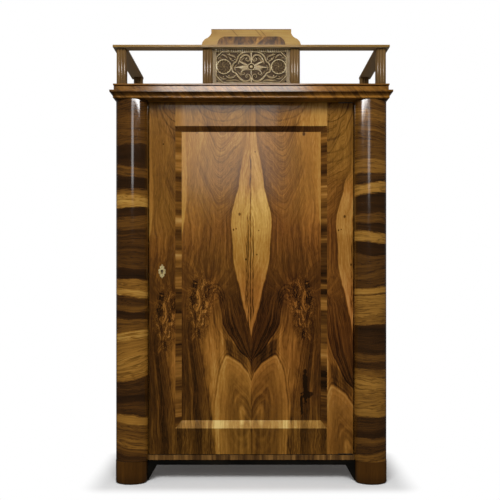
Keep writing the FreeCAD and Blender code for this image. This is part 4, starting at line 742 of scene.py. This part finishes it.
def corniceFigure(where):  # short grain across the moulding, some of it slanting
    part = split(where)
    slanting = part[0] + part[2] * 0.9
    line = join(slanting, part[1] * 0.3, part[2])
    broad = noise(line, (7, 7, 3), 3.0, shift=(2, 1, 4))
    fine = noise(line, (90, 90, 6), 3.0, shift=(2, 1, 4))
    vein = thinLine(noise(line, (16, 16, 3), 3.0, shift=(5, 1, 4)), 0.5, 0.03)
    # painted shade: the cove faces down and is darkened
    paintedCoveShade = between(part[2], 1.560, 1.573, 0.004) * -0.17
    figure = 0.56 + swing(broad, 0.34) + swing(fine, 0.22) + vein * -0.13 + paintedCoveShade
    return figure, 0.15 + swing(broad, 0.3)


looks = {
    "panel": woodMaterial("panelVeneer", doorLeaf, gloss=0.24, coatRough=0.15),
    "rails": woodMaterial("railVeneer", railFigure, gloss=0.24, coat=0.45, tint=(0.99, 1.03, 1.1, 1)),
    "bevels": woodMaterial("bevelVeneer", bevelFigure, gloss=0.3, coat=0.3, dust=0.0,
                           tint=(1.04, 1.12, 1.45, 1)),
    "topBevel": woodMaterial("topBevelVeneer", shadedBevelFigure, gloss=0.3, coat=0.3,
                             tint=(1, 1, 1.6, 1)),
    "leftStile": woodMaterial("leftStileVeneer", leftStileFigure, gloss=0.24, tint=(0.92, 0.95, 0.98, 1)),
    "rightStile": woodMaterial("rightStileVeneer", rightStileFigure, gloss=0.24,
                               tint=(0.92, 0.91, 0.96, 1)),
    "sideBevel": woodMaterial("crossBandedBevel", sideBevelFigure, gloss=0.26, tint=(1, 1, 1.15, 1),
                              stretch=grainBanded),
    "leftPilaster": woodMaterial("leftPilasterVeneer", pilasterFigure(leftBands, 0.30, -0.4835),
                                 gloss=0.25, coat=1.0, coatRough=0.10, coatIor=1.72, stretch=grainBanded),
    "rightPilaster": woodMaterial("rightPilasterVeneer", pilasterFigure(rightBands, 0.34, 0.4835, 0.03),
                                  gloss=0.25, coat=1.0, coatRough=0.15, coatIor=1.65,
                                  tint=(1, 1.03, 1.1, 1), stretch=grainBanded),
    "foot": woodMaterial("footVeneer", plainFigure(0.30, (16, 16, 1), 0.16, 0.08, (2, 2, 2)), gloss=0.3,
                         age=0.8),
    "cornice": woodMaterial("corniceVeneer", corniceFigure, gloss=0.3, coat=0.55, coatRough=0.2),
    # partly painted sheen: the blue-grey tint stands for the haze of reflected light on the rail
    "baseRail": woodMaterial("baseRailVeneer", plainFigure(0.46, (40, 9, 2), 0.6, 0.12, (5, 1, 1)),
                             gloss=0.28, age=0.5, tint=(1, 1.18, 2.3, 1)),
    # painted reflection: the grey-blue tint and the paler undersides stand in for the bright room
    # mirrored in the gallery's polish
    "gallery": woodMaterial("galleryVeneer", plainFigure(0.66, (1.5, 14, 14), 0.16, 0.08, (1, 1, 3)),
                            gloss=0.4, coat=0.25, coatRough=0.25, stretch=grainAcross,
                            tint=(0.71, 0.91, 1.28, 1), bare=0.9),
    "galleryBoard": woodMaterial("galleryBoardVeneer",
                                 plainFigure(0.52, (1.2, 9, 9), 0.2, 0.1, (1, 7, 3)), gloss=0.35,
                                 coat=0.4, coatRough=0.2, stretch=grainAcross),
    "post": woodMaterial("postWalnut", plainFigure(0.46, (30, 30, 2), 0.14, 0.08, (1, 2, 3)), gloss=0.34,
                         coat=0.55, coatRough=0.2, tint=(1.02, 1.42, 3.5, 1)),
    "side": woodMaterial("sideVeneer", plainFigure(0.50, (7, 7, 0.8), 0.34, 0.14, (3, 2, 1)), gloss=0.3),
    "inner": woodMaterial("innerSoftwood", plainFigure(0.86, (30, 30, 2.5), 0.1, 0.08, (3, 2, 1)),
                          gloss=0.6, coat=0.0, tint=(1.0, 0.94, 0.82, 1), bump=0.3),
    "innerAcross": woodMaterial("innerShelfWood", plainFigure(0.86, (2.5, 30, 30), 0.1, 0.08, (3, 5, 1)),
                                gloss=0.6, coat=0.0, stretch=grainAcross, tint=(1.0, 0.94, 0.82, 1),
                                bump=0.3),
    "backWood": woodMaterial("backSoftwood", plainFigure(0.72, (26, 26, 1.5), 0.14, 0.1, (3, 9, 1)),
                             gloss=0.7, coat=0.0, tint=(0.95, 0.88, 0.78, 1), age=0.9, bump=0.4),
}


crestSettings = {"lines": (-0.066, 0.028, 0.046), "foot": 1.795, "middle": 1.811, "rim": 1.8225,
                 "lean": 0.9}


def crestFigure(where):  # plain, with a few dark slanting lines
    plain, warm = plainFigure(0.80, (1.6, 12, 12), 0.12, 0.1, (4, 2, 3))(where)
    part = split(where)
    reach = ease(part[2], crestSettings["foot"], crestSettings["foot"] + 0.008)
    for at in crestSettings["lines"]:
        past = part[0] - at + (part[2] - crestSettings["middle"]) * crestSettings["lean"]
        mark = thinLine(past, 0.0, 0.0035) * reach
        plain -= mark * 0.18
    rim = ease(part[2], crestSettings["rim"], crestSettings["rim"] + 0.002)
    return plain - rim * 0.3, warm


looks["crest"] = woodMaterial("crestVeneer", crestFigure, gloss=0.35, coat=0.3, coatRough=0.2,
                              stretch=grainAcross, tint=(0.76, 0.90, 0.95, 1))


def inlayFigure(where):
    fan = moved(where, (0, 0, -1.70))
    flame = noise(fan, (26, 1, 18), 4.0, twist=1.6, shift=(2, 0, 5))
    slant = noise(fan, (70, 1, 24), 3.0, twist=0.6, shift=(4, 0, 5))
    part = split(where)
    beam = between(part[0] - (part[2] - 1.78) * 0.9, 0.020, 0.036, 0.006) * 0.22
    return 0.40 + swing(flame, 0.66) + swing(slant, 0.2) + beam, 0.25


looks["inlay"] = woodMaterial("inlayVeneer", inlayFigure, gloss=0.3, coat=0.5, coatRough=0.15,
                              tint=(0.80, 0.84, 0.73, 1))


def ebonyMaterial():
    material, shader, where = newMaterial("ebonisedApron")
    cloud = noise(where, (9, 9, 9), 5.0)
    fibre = noise(where, (6, 200, 200), 3.0)
    colour = mixColour(ease(cloud, 0.35, 0.8), tone(9, 8, 6), tone(24, 20, 14))
    feed(shader["Base Color"], mixColour(ease(fibre, 0.55, 0.8), colour, tone(34, 28, 19)))
    feed(shader["Roughness"], 0.42 + swing(cloud, 0.14))
    roughen(shader, fibre, 0.15)
    shader["Specular IOR Level"].default_value = 0.3
    return material


def metalMaterial(name, bright, dull, stain, roughness, metallic=1.0):
    material, shader, where = newMaterial(name)
    patch = noise(where, (160, 160, 160), 5.0)
    scratch = noise(where, (900, 900, 60), 3.0)
    stained = ease(patch, 0.66, 0.78)
    feed(shader["Base Color"], mixColour(stained, mixColour(ease(patch, 0.35, 0.7), bright, dull), stain))
    feed(shader["Roughness"], roughness + swing(patch, 0.16) + swing(scratch, 0.08))
    feed(shader["Metallic"], metallic - stained * (metallic * 0.6))
    roughen(shader, scratch, 0.2, 0.0002)
    return material


carvingDepths = {"hollow": -0.2095, "relief": 0.011}  # y of the deepest ground, and the rise above it
carvedTones = [(0.0, tone(16, 10, 5)), (0.32, tone(36, 25, 14)), (0.5, tone(70, 54, 36)),
               (0.74, tone(118, 99, 68)), (0.9, tone(164, 143, 104)), (1.0, tone(200, 182, 144))]


def carvedMaterial():  # stained hollows and tops rubbed paler, with painted shade in the hollows and painted highlights on the tops
    material, shader, where = newMaterial("carvedWalnut")
    depth = split(where)[1]
    hollow = carvingDepths["hollow"]
    rise = (hollow - depth) / carvingDepths["relief"]  # 0 in the hollows, 1 on the tops
    stipple = noise(where, (300, 300, 300), 3.0)
    fibre = noise(where, (30, 160, 160), 3.0)
    patch = noise(where, (26, 26, 26), 3.0, shift=(2, 5, 2))
    colour = colourRamp(rise + swing(fibre, 0.12) + swing(stipple, 0.14) + swing(patch, 0.12),
                        carvedTones)
    back = ease(depth, hollow + 0.0005, hollow + 0.0015)
    feed(shader["Base Color"], mixColour(back, colour, tone(104, 76, 44)))
    feed(shader["Roughness"], 0.5 + swing(stipple, 0.2))
    roughen(shader, stipple, 0.3)
    feed(shader["Coat Weight"], ease(rise, 0.62, 0.95) * 0.45)
    shader["Specular IOR Level"].default_value = 0.05
    shader["Coat Roughness"].default_value = 0.16
    return material


looks["ebony"] = ebonyMaterial()
looks["brass"] = metalMaterial("agedBrass", tone(236, 216, 158), tone(196, 168, 104), tone(78, 60, 30),
                               roughness=0.3, metallic=0.5)
looks["steel"] = metalMaterial("wornSteel", tone(150, 146, 138), tone(104, 98, 90), tone(66, 46, 30),
                               roughness=0.42)
looks["carving"] = carvedMaterial()
print("materials ready:", len(looks))

dressing = {
    "panel": ["door_panel"],
    "rails": ["door_top_rail", "door_bottom_rail"],
    "topBevel": ["bevel_top"],
    "bevels": ["bevel_bottom"],
    "leftStile": ["lock_stile"],
    "rightStile": ["hinge_stile"],
    "sideBevel": ["bevel_left", "bevel_right"],
    "leftPilaster": ["left_pilaster"],
    "rightPilaster": ["right_pilaster"],
    "foot": ["left_foot", "right_foot"],
    "cornice": ["cornice_front", "cornice_left", "cornice_right"],
    "baseRail": ["base_rail"],
    "gallery": ["gallery_front_rail", "gallery_left_rail", "gallery_right_rail"],
    "galleryBoard": ["gallery_base"],
    "post": [name for name in nodes if name.endswith("_post")],
    "crest": ["crest_board"],
    "inlay": ["crest_inlay"],
    "side": ["left_side", "right_side"],
    "inner": ["door_stop", "shelf_bearers"] + [name for name in nodes if name.startswith("rack_")],
    "innerAcross": ["bottom_board", "top_board", "head_rail", "cornice_back", "shelf_1", "shelf_2",
                    "shelf_3", "dowels"],
    "backWood": ["back_board_1", "back_board_2", "back_board_3"],
    "ebony": ["apron"],
    "brass": ["escutcheon"],
    "steel": ["lower_pivot", "upper_pivot", "strike_plate", "frame_screws", "door_screws", "lock_case",
              "lock_bolt", "lower_socket", "upper_socket"],
    "carving": ["carved_panel"],
}
dressed = set()
for look, names in dressing.items():
    for name in names:
        slots = nodes[name].data.materials
        slots.clear()
        slots.append(looks[look])
        dressed.add(name)
print("nodes without a look:", sorted(set(nodes) - dressed))


def newPiece(name, points, faces, look, body, slot, *replaced, smoothAngle=35):
    mesh = bpy.data.meshes.new(name)
    mesh.from_pydata(points, [], faces)
    mesh.validate()
    mesh.materials.append(looks[look])
    piece = bpy.data.objects.new(name, mesh)
    bpy.context.scene.collection.objects.link(piece)
    mesh.shade_smooth()
    mesh.set_sharp_from_angle(angle=math.radians(smoothAngle))
    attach(piece, body)
    if replaced:
        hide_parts(*replaced)
    return piece


reedSettings = {"perFace": 3, "steps": 8, "rise": 0.0032, "endEase": 0.0012}


def reededPost(node):  # three round reeds on each face
    low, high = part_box(node)
    middle = (low + high) / 2
    halfX = (high.x - low.x) / 2 - reedSettings["rise"]
    halfY = (high.y - low.y) / 2 - reedSettings["rise"]
    plan = []
    for side in range(4):
        across, out = (halfX, halfY) if side % 2 == 0 else (halfY, halfX)
        for reed in range(reedSettings["perFace"]):
            for step in range(reedSettings["steps"]):
                along = step / reedSettings["steps"]
                run = across * ((reed + along) * 2 / reedSettings["perFace"] - 1)
                face = out + reedSettings["rise"] * math.sin(math.pi * along) ** 0.6
                plan.append([(run, -face), (face, run), (-run, face), (-face, -run)][side])
    points = []
    levels = [(low.z, 0.96), (low.z + reedSettings["endEase"], 1), (high.z - reedSettings["endEase"], 1),
              (high.z, 0.96)]
    for level, scale in levels:
        points += [(middle.x + x * scale, middle.y + y * scale, level) for x, y in plan]
    count = len(plan)
    faces = [tuple(range(count))[::-1], tuple(range(count * (len(levels) - 1), count * len(levels)))]
    for ring in range(len(levels) - 1):
        for step in range(count):
            following = (step + 1) % count
            below, over = ring * count, (ring + 1) * count
            faces.append((below + step, below + following, over + following, over + step))
    name = "reeded_" + node
    return newPiece(name, points, faces, "post", "carcass", "post_walnut", node, smoothAngle=50)


for name in dressing["post"]:
    reededPost(name)
print("posts reeded")

# Carving, in millimetres from the middle of the panel. Strokes are set for the right half and
# mirrored: (height, depth of the groove along it, base it rises from, [(x, z, width), ...])
carving = {
    "spacing": 0.9,
    "relief": 6.0,
    "hollow": -5.0,
    "field": (140.5, 59.0, 63.0, 177.5),  # half width, top, foot, and x + z along the cut corners
    "toolMarks": 0.35,
    "beadHeight": 5.6,
    "beads": [(83, 31, 4.6), (90, -36, 3.4), (88, 53, 2.8), (136, 22, 2.4), (136, -22, 2.4),
              (54, 54, 2.8), (14.5, 31, 2.2), (14, -38, 2.4), (34.5, -25, 1.8), (80, 6, 2.2),
              (66, 30, 2.6), (100, 38, 2.4), (112, -40, 2.6)],
    "strokes": [
        (6.0, 2.2, 0, [(52, 12, 3), (47, 27, 6), (39, 40, 8), (26, 47.5, 8), (12, 44.5, 7), (5, 33, 5),
                       (10.5, 23.5, 4.4), (19, 24.5, 4), (22, 32, 3.6), (17, 36, 3.2)]),
        (6.0, 2.2, 0, [(5, 60, 5), (22, 60, 6.5), (36, 55, 7), (49, 46, 7), (56, 32, 7), (62, 20, 6.5),
                       (70, 15, 6), (75, 4, 6.5), (77, -9, 6.5), (73, -21, 6.5), (63, -25, 6),
                       (57, -33, 7), (48, -44, 8), (38, -53, 8.5), (24, -58, 8), (9, -54, 6.5),
                       (3, -42, 5), (8.5, -31.5, 4.4), (18, -31, 4), (22, -39, 3.6), (17, -44, 3.2)]),
        (4.8, 1.2, 0, [(10, -13, 4), (20, -11, 6), (33, -14, 7), (41, -24, 5), (36, -32, 4),
                       (28, -29, 3.6), (29, -23, 3.2)]),
        (6.0, 1.6, 0, [(12, -1, 7), (28, 0, 12), (46, -2, 9), (60, -3, 5), (70, -4, 2)]),
        (5.6, 1.2, 0, [(13, 5, 6), (27, 12, 10), (38, 17, 8), (49, 22, 2)]),
        (5.0, 1.0, 0, [(14, -6, 5), (30, -9, 8), (46, -9, 3)]),
        (3.4, 0.8, 0, [(28, 37, 4), (35, 31, 8), (42, 22, 6), (48, 12, 2)]),
        (4.4, 1.2, 0, [(62, 34, 3), (70, 42, 8), (84, 47, 8), (100, 52, 3)]),
        (3.8, 1.0, 0, [(68, 22, 3), (78, 26, 6), (86, 34, 6), (92, 44, 2)]),
        (4.4, 1.2, 0, [(96, 34, 3), (104, 43, 8), (115, 49, 6), (124, 42, 3)]),
        (3.4, 0.8, 0, [(134, 30, 3), (129, 38, 7), (120, 33, 3)]),
        (4.6, 1.4, 0, [(62, -32, 3), (72, -41, 9), (86, -44, 9), (98, -40, 5), (104, -33, 2)]),
        (4.2, 1.2, 0, [(48, -58, 4), (64, -53, 8), (82, -55, 8), (100, -54, 3)]),
        (3.8, 1.0, 0, [(100, -48, 3), (112, -48, 8), (124, -42, 6), (130, -33, 2)]),
        (3.0, 0.6, 0, [(136, -30, 3), (133, -44, 6), (122, -54, 3)]),
        (3.6, 0.8, 0, [(58, 8, 2), (64, 2, 6), (66, -10, 6), (60, -18, 2)]),
        (3.2, 0.8, 0, [(40, -38, 3), (46, -28, 7), (56, -18, 3)]),
    ],
    "middle": [
        (5.2, 1.0, 0, [(0, 15, 5), (0, 28, 8), (0, 42, 6), (0, 54, 9), (0, 60, 4)]),
        (4.6, 1.0, 0, [(0, -15, 5), (0, -26, 7), (0, -34, 3)]),
        (5.4, 1.2, 0, [(0, -46, 4), (0, -54, 9), (0, -62, 5)]),
    ],
}


class Relief:
    def __init__(self, halfWide, halfTall, spacing):
        self.halfWide, self.halfTall, self.spacing = halfWide, halfTall, spacing
        columns = int(round(halfWide * 2 / spacing)) + 1
        rows = int(round(halfTall * 2 / spacing)) + 1
        self.x, self.z = np.meshgrid(np.linspace(-halfWide, halfWide, columns),
                                     np.linspace(-halfTall, halfTall, rows))
        across = np.sin(self.x * 1.3 + 2 * np.sin(self.z * 0.21))
        upward = np.sin(self.z * 1.5 + 2 * np.sin(self.x * 0.17))
        self.rise = carving["toolMarks"] * across * upward

    def window(self, place, radius):  # the grid lines near a place
        first = int((place - radius) / self.spacing) - 1
        return slice(max(first, 0), int((place + radius) / self.spacing) + 3)

    def touch(self, field, x, z, radius):  # closeness to a spot, 1 in its middle, kept where greater
        rows, columns = self.window(z + self.halfTall, radius), self.window(x + self.halfWide, radius)
        close = 1 - ((self.x[rows, columns] - x) ** 2 + (self.z[rows, columns] - z) ** 2) / radius ** 2
        field[rows, columns] = np.maximum(field[rows, columns], close)

    def lump(self, x, z, radius, height, base=0.0):
        body = np.zeros_like(self.rise)
        self.touch(body, x, z, radius)
        shape = base + (height - base) * np.sqrt(body)
        self.rise = np.where(body > 0, np.maximum(self.rise, shape), self.rise)

    def ring(self, away, at, half, height):  # round bead where away is near at
        bead = np.clip(1 - ((away - at) / half) ** 2, 0, 1)
        self.rise = np.maximum(self.rise, height * np.sqrt(bead))

    def stroke(self, height, groove, base, points):
        body = np.zeros_like(self.rise)
        core = np.zeros_like(self.rise)
        for x, z, width in smoothLine(points):
            self.touch(body, x, z, width / 2)
            self.touch(core, x, z, width / 4.5)
        shape = base + (height - base) * body ** 0.42 - groove * core
        self.rise = np.where(body > 0, np.maximum(self.rise, shape), self.rise)


def smoothLine(points, step=0.8):  # evenly walked Catmull-Rom line through given points
    padded = [points[0], *points, points[-1]]
    line = []
    for a, b, c, d in zip(padded, padded[1:], padded[2:], padded[3:]):
        count = max(2, int(math.dist(b, c) / step))
        for number in range(count):
            t = number / count
            line.append(tuple(0.5 * (2 * q + (r - p) * t + (2 * p - 5 * q + 4 * r - s) * t * t
                                     + (3 * q - p - 3 * r + s) * t ** 3)
                              for p, q, r, s in zip(a, b, c, d)))
    line.append(points[-1])
    return line


medallion = {
    "across": 110.0,
    "radius": 27.5,
    "bowl": 2.6,
    "leaves": 6,
    "firstLeaf": 15,  # degrees
    # (reach, turn, width)
    "leafLine": [(3, 0.0, 4), (9, 0.15, 7.5), (15.5, 0.45, 8), (20, 0.85, 5), (20.5, 1.15, 3)],
    "leafHeight": 3.0,
    "leafGroove": 2.0,
    "boss": (5, 4.4),  # radius and height
    "pearls": 14,
    "pearlCircle": 26.5,
    "pearl": (4.6, 4.2),
    "ringOut": 1.2,
    "ringHalf": 2.4,
    "ringHeight": 6.0,
}


def carveMedallion(relief, side):  # hollow roundel with a rosette of curling leaves
    middle, radius, hollow = medallion["across"] * side, medallion["radius"], carving["hollow"]
    away = np.hypot(relief.x - middle, relief.z)
    relief.rise = np.where(away < radius, hollow + medallion["bowl"] * (away / radius) ** 4, relief.rise)
    for leaf in range(medallion["leaves"]):
        start = math.radians(leaf * 360 / medallion["leaves"] + medallion["firstLeaf"])
        points = []
        for reach, turn, width in medallion["leafLine"]:
            angle = start + turn * side
            points.append((middle + reach * math.cos(angle), reach * math.sin(angle), width))
        relief.stroke(medallion["leafHeight"], medallion["leafGroove"], hollow, points)
    relief.lump(middle, 0, *medallion["boss"], hollow)
    circle = medallion["pearlCircle"]
    for number in range(medallion["pearls"]):
        angle = math.radians(number * 360 / medallion["pearls"])
        relief.lump(middle + circle * math.cos(angle), circle * math.sin(angle), *medallion["pearl"])
    relief.ring(away, radius + medallion["ringOut"], medallion["ringHalf"], medallion["ringHeight"])


edging = {
    "margin": 2.8,
    "corners": 1.4,
    "flutes": (0.6, 4.8, 7.5),  # base, rise and width
    "beadHalf": 2.1,
    "beadHeight": 5.9,
    "holes": [(138, 54), (138, -58)],
    "holeRadius": 3.2,
}


def carveBorder(relief):  # bead round the field, flutes over it, plain margins and cut corners
    halfWide, top, foot, corner = carving["field"]
    x, z = np.abs(relief.x), relief.z
    inside = np.minimum(np.minimum(halfWide - x, top - z), z + foot)
    inCorner = (corner - x - np.abs(z)) / math.sqrt(2)
    relief.rise = np.where(inside < 0, edging["margin"], relief.rise)
    relief.rise = np.where((inside >= 0) & (inCorner < 0), edging["corners"], relief.rise)
    fluted = (z > top + 1) & (x < halfWide + 8)
    base, rise, width = edging["flutes"]
    flutes = base + rise * np.sqrt(np.abs(np.sin(relief.x * math.pi / width)))
    relief.rise = np.where(fluted, flutes, relief.rise)
    relief.ring(np.minimum(inside, inCorner), 0, edging["beadHalf"], edging["beadHeight"])
    for holeX, holeZ in edging["holes"]:
        for side in (-1, 1):
            away = np.hypot(relief.x - holeX * side, relief.z - holeZ)
            relief.rise = np.where(away < edging["holeRadius"], carving["hollow"], relief.rise)


hub = {"radius": 13.5, "ground": -2.5, "ringHalf": 2.2, "ringHeight": 5.6, "boss": 8.5}


def buildCarving():
    low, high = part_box("carved_panel")
    relief = Relief((high.x - low.x) * 500, (high.z - low.z) * 500, carving["spacing"])
    top = carving["relief"]
    for side in (-1, 1):
        for height, groove, base, points in carving["strokes"]:
            relief.stroke(height, groove, base, [(x * side, z, width) for x, z, width in points])
        for x, z, radius in carving["beads"]:
            relief.lump(x * side, z, radius, carving["beadHeight"])
    for stroke in carving["middle"]:
        relief.stroke(*stroke)
    for side in (-1, 1):
        carveMedallion(relief, side)
    away = np.hypot(relief.x, relief.z)
    relief.rise = np.where(away < hub["radius"], hub["ground"], relief.rise)
    relief.ring(away, hub["radius"], hub["ringHalf"], hub["ringHeight"])
    relief.lump(0, 0, hub["boss"], top, hub["ground"])
    carveBorder(relief)
    relief.rise = np.clip(relief.rise, carving["hollow"], top)

    rows, columns = relief.x.shape
    middle = (low + high) / 2
    groundY = low.y + top / 1000
    points = []
    for row in range(rows):
        for column in range(columns):
            spotX, spotZ = relief.x[row, column], relief.z[row, column]
            points.append((middle.x + spotX / 1000, groundY - relief.rise[row, column] / 1000,
                           middle.z + spotZ / 1000))
    faces = []
    for row in range(rows - 1):
        for column in range(columns - 1):
            corner = row * columns + column
            faces.append((corner, corner + 1, corner + columns + 1, corner + columns))
    border = list(range(columns))
    border += [row * columns + columns - 1 for row in range(1, rows)]
    border += [(rows - 1) * columns + column for column in range(columns - 2, -1, -1)]
    border += [row * columns for row in range(rows - 2, 0, -1)]
    first = len(points)
    points += [(points[index][0], high.y, points[index][2]) for index in border]
    for number in range(len(border)):
        following = (number + 1) % len(border)
        faces.append((border[following], border[number], first + number, first + following))
    faces.append(tuple(range(first, first + len(border))))
    return newPiece("carved_strapwork", points, faces, "carving", "carcass", "carved_walnut",
                    "carved_panel", smoothAngle=75)


buildCarving()
print("panel carved")

# Right half of the plate's outline, in millimetres from its middle, and its keyhole
plate = {
    "outline": [(0, -28.5), (2.2, -27.4), (2.4, -24.6), (4.6, -22.6), (8.4, -20.0), (9.6, -16.2),
                (8.0, -12.6), (11.8, -10.4), (14.4, -6.0), (13.0, -1.6), (14.8, 2.6), (13.6, 7.4),
                (9.6, 10.2), (7.2, 13.0), (9.4, 16.2), (8.2, 20.2), (4.4, 21.4), (2.6, 23.6), (2.4, 27.0),
                (0, 28.5)],
    "outlineStep": 1.2,
    "thickness": 0.0012,
    "rounding": 0.00045,
    "keyRound": 5.4,
    "keyHeight": 1.0,
    "keyDegrees": range(-148, 149, 14),
    "keySlot": (2.6, 11.0),
    "pins": [(0, 25.2), (0, -25.2), (10.8, 3), (-10.8, 3)],
    "pinRings": [(1.5, 0.0), (1.2, 0.35), (0.6, 0.55)],
    "pinSides": 12,
    "pinSink": 0.0001,
}


def outlineCurve(name, loops, thickness, rounding):  # flat filled curve, turned to a mesh
    curve = bpy.data.curves.new(name, "CURVE")
    curve.dimensions = "2D"
    curve.fill_mode = "BOTH"
    curve.extrude = max(thickness / 2 - rounding, 0)
    curve.bevel_depth = rounding
    curve.bevel_resolution = 3
    curve.offset = -rounding
    for loop in loops:
        line = curve.splines.new("POLY")
        line.points.add(len(loop) - 1)
        for point, (x, z) in zip(line.points, loop):
            point.co = (x / 1000, z / 1000, 0, 1)
        line.use_cyclic_u = True
    holder = bpy.data.objects.new(name, curve)
    bpy.context.scene.collection.objects.link(holder)
    bpy.context.view_layer.update()
    mesh = bpy.data.meshes.new_from_object(holder.evaluated_get(bpy.context.evaluated_depsgraph_get()))
    bpy.data.objects.remove(holder)
    return mesh


def buildEscutcheon():
    low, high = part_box("escutcheon")
    middle = (low + high) / 2
    half = smoothLine(plate["outline"], plate["outlineStep"])
    loop = half + [(-x, z) for x, z in reversed(half)][1:-1]
    radius = plate["keyRound"]
    slot, drop = plate["keySlot"]
    keyZ = plate["keyHeight"]
    angles = [math.radians(degrees) for degrees in plate["keyDegrees"]]
    hole = [(radius * math.sin(angle), keyZ + radius * math.cos(angle)) for angle in angles]
    hole += [(slot, keyZ - drop), (-slot, keyZ - drop)]
    mesh = outlineCurve("keyholePlate", [loop, hole], plate["thickness"], plate["rounding"])
    plateY = high.y - plate["thickness"] / 2
    points = [(middle.x + spot.co.x, plateY + spot.co.z, middle.z + spot.co.y) for spot in mesh.vertices]
    faces = [tuple(face.vertices)[::-1] for face in mesh.polygons]
    sides = plate["pinSides"]
    for spotX, spotZ in plate["pins"]:  # round heads, in rings from the plate outwards
        first = len(points)
        for radius, rise in plate["pinRings"]:
            for step in range(sides):
                angle = step * math.tau / sides
                spot = (spotX + radius * math.cos(angle), spotZ + radius * math.sin(angle))
                points.append((middle.x + spot[0] / 1000, low.y - rise / 1000 + plate["pinSink"],
                               middle.z + spot[1] / 1000))
        last = len(points) - sides
        for start in range(first, last, sides):
            for step in range(sides):
                following = (step + 1) % sides
                corners = (step, following, sides + following, sides + step)
                faces.append(tuple(start + corner for corner in corners))
        faces.append(tuple(range(last, last + sides)))
        faces.append(tuple(range(first, first + sides))[::-1])
    return newPiece("pierced_escutcheon", points, faces, "brass", "door", "aged_brass", "escutcheon")


buildEscutcheon()
print("escutcheon made")

stageSettings = {
    "floorHalf": 14.0,
    "shadowReach": 0.12,  # metres of natural floor round the cupboard before it goes white
    "dullRoom": 0.03,  # what polish mirrors from the room in front of the door
    "backRoom": 0.12,  # and from the room behind it
}


def lightPathMask(tree, *rays):
    seen = addNode(tree, "LightPath")
    return calc("MINIMUM", sum(Wire(seen.outputs[ray]) for ray in rays), 1.0)


def mixShaders(factor, first, second):
    made = addNode(factor.tree, "MixShader", Fac=factor)
    feed(made.inputs[1], first.outputs[0])
    feed(made.inputs[2], second.outputs[0])
    return made


def buildFloor():
    half = stageSettings["floorHalf"]
    mesh = bpy.data.meshes.new("floor")
    mesh.from_pydata([(-half, -half, 0), (half, -half, 0), (half, half, 0), (-half, half, 0)], [],
                     [(0, 1, 2, 3)])
    floor = bpy.data.objects.new("floor", mesh)
    bpy.context.scene.collection.objects.link(floor)
    material = bpy.data.materials.new("paleFloor")
    tree = emptyTree(material)
    where = wireFrom(tree, "TexCoord", "Object")
    paint = mixColour(noise(where, (3, 3, 3), 3.0), tone(248, 248, 248), tone(242, 242, 242))
    # throws little light back up
    paint = mixColour(lightPathMask(tree, "Is Camera Ray"), tone(120, 118, 114), paint)
    part = split(where)
    pastX = calc("MAXIMUM", abs(part[0]) - cadBox[1][0], 0.0)
    pastY = calc("MAXIMUM", abs(part[1]) - cadBox[1][1], 0.0)
    away = calc("SQRT", pastX * pastX + pastY * pastY)
    fade = 0.04 + ease(away, 0.0, stageSettings["shadowReach"]) * 0.96
    white = fade * lightPathMask(tree, "Is Camera Ray", "Is Glossy Ray", "Is Transmission Ray")
    mirrored = lightPathMask(tree, "Is Glossy Ray")
    matt = addNode(tree, "BsdfDiffuse", Color=paint)
    glow = addNode(tree, "Emission", Color=(1, 1, 1, 1), Strength=1.0)
    dull = addNode(tree, "Emission", Color=(1, 1, 1, 1), Strength=stageSettings["dullRoom"])
    surface = mixShaders(mirrored, mixShaders(white, matt, glow), dull)
    feed(addNode(tree, "OutputMaterial").inputs["Surface"], surface.outputs[0])
    mesh.materials.append(material)


def buildRoom():
    world = bpy.data.worlds.new("paleRoom")
    bpy.context.scene.world = world
    tree = emptyTree(world)
    ambient = addNode(tree, "Background", Color=(1, 1, 1, 1), Strength=lampSettings["ambient"])
    behind = ease(split(wireFrom(tree, "TexCoord", "Generated"))[1], 0.1, 0.5)
    shine = blend(behind, stageSettings["dullRoom"], stageSettings["backRoom"])
    shine = calc("MAXIMUM", shine, lightPathMask(tree, "Is Camera Ray", "Is Transmission Ray"))
    seen = addNode(tree, "Background", Color=(1, 1, 1, 1), Strength=shine)
    direct = lightPathMask(tree, "Is Camera Ray", "Is Glossy Ray", "Is Transmission Ray")
    feed(addNode(tree, "OutputWorld").inputs["Surface"], mixShaders(direct, ambient, seen).outputs[0])


def addLamp(name, location, target, sizeX, sizeY, power, lights=True, mirrors=True):
    light = bpy.data.lights.new(name, "AREA")
    light.shape = "RECTANGLE"
    light.size = sizeX
    light.size_y = sizeY
    light.energy = power
    lamp = bpy.data.objects.new(name, light)
    lamp.location = location
    lamp.rotation_euler = (Vector(target) - Vector(location)).to_track_quat("-Z", "Y").to_euler()
    lamp.visible_camera = False
    lamp.visible_diffuse = lights
    lamp.visible_glossy = mirrors
    bpy.context.scene.collection.objects.link(lamp)


lampSettings = {"ambient": 0.37, "ceiling": 180, "near": 10, "window": 7.5}
buildFloor()
buildRoom()
addLamp("ceiling", (-0.3, -3.9, 3.7), (0, 0, 0.8), 2.8, 1.6, lampSettings["ceiling"], mirrors=False)
addLamp("near", (-0.1, -0.95, 1.835), (-0.1, 0, 1.835), 0.74, 0.24, lampSettings["near"], lights=False)
addLamp("window", (-0.22, -4.6, 2.15), (-0.1, 0, 1.2), 0.95, 0.9, lampSettings["window"])

cameraSettings = {"lens": 53.64, "sensor": 36, "shiftX": -0.0025, "shiftY": 0.05, "away": 2.98,
                  "height": 0.841}
camera = bpy.data.cameras.new("camera")
camera.lens = cameraSettings["lens"]
camera.sensor_width = cameraSettings["sensor"]
camera.shift_x = cameraSettings["shiftX"]
camera.shift_y = cameraSettings["shiftY"]
viewpoint = bpy.data.objects.new("camera", camera)
viewpoint.location = (0, frontPlane - cameraSettings["away"], cameraSettings["height"])
viewpoint.rotation_euler = (math.radians(90), 0, 0)
bpy.context.scene.collection.objects.link(viewpoint)
bpy.context.scene.camera = viewpoint
bpy.context.scene.view_settings.view_transform = "Standard"
print("stage, lamps and camera set")
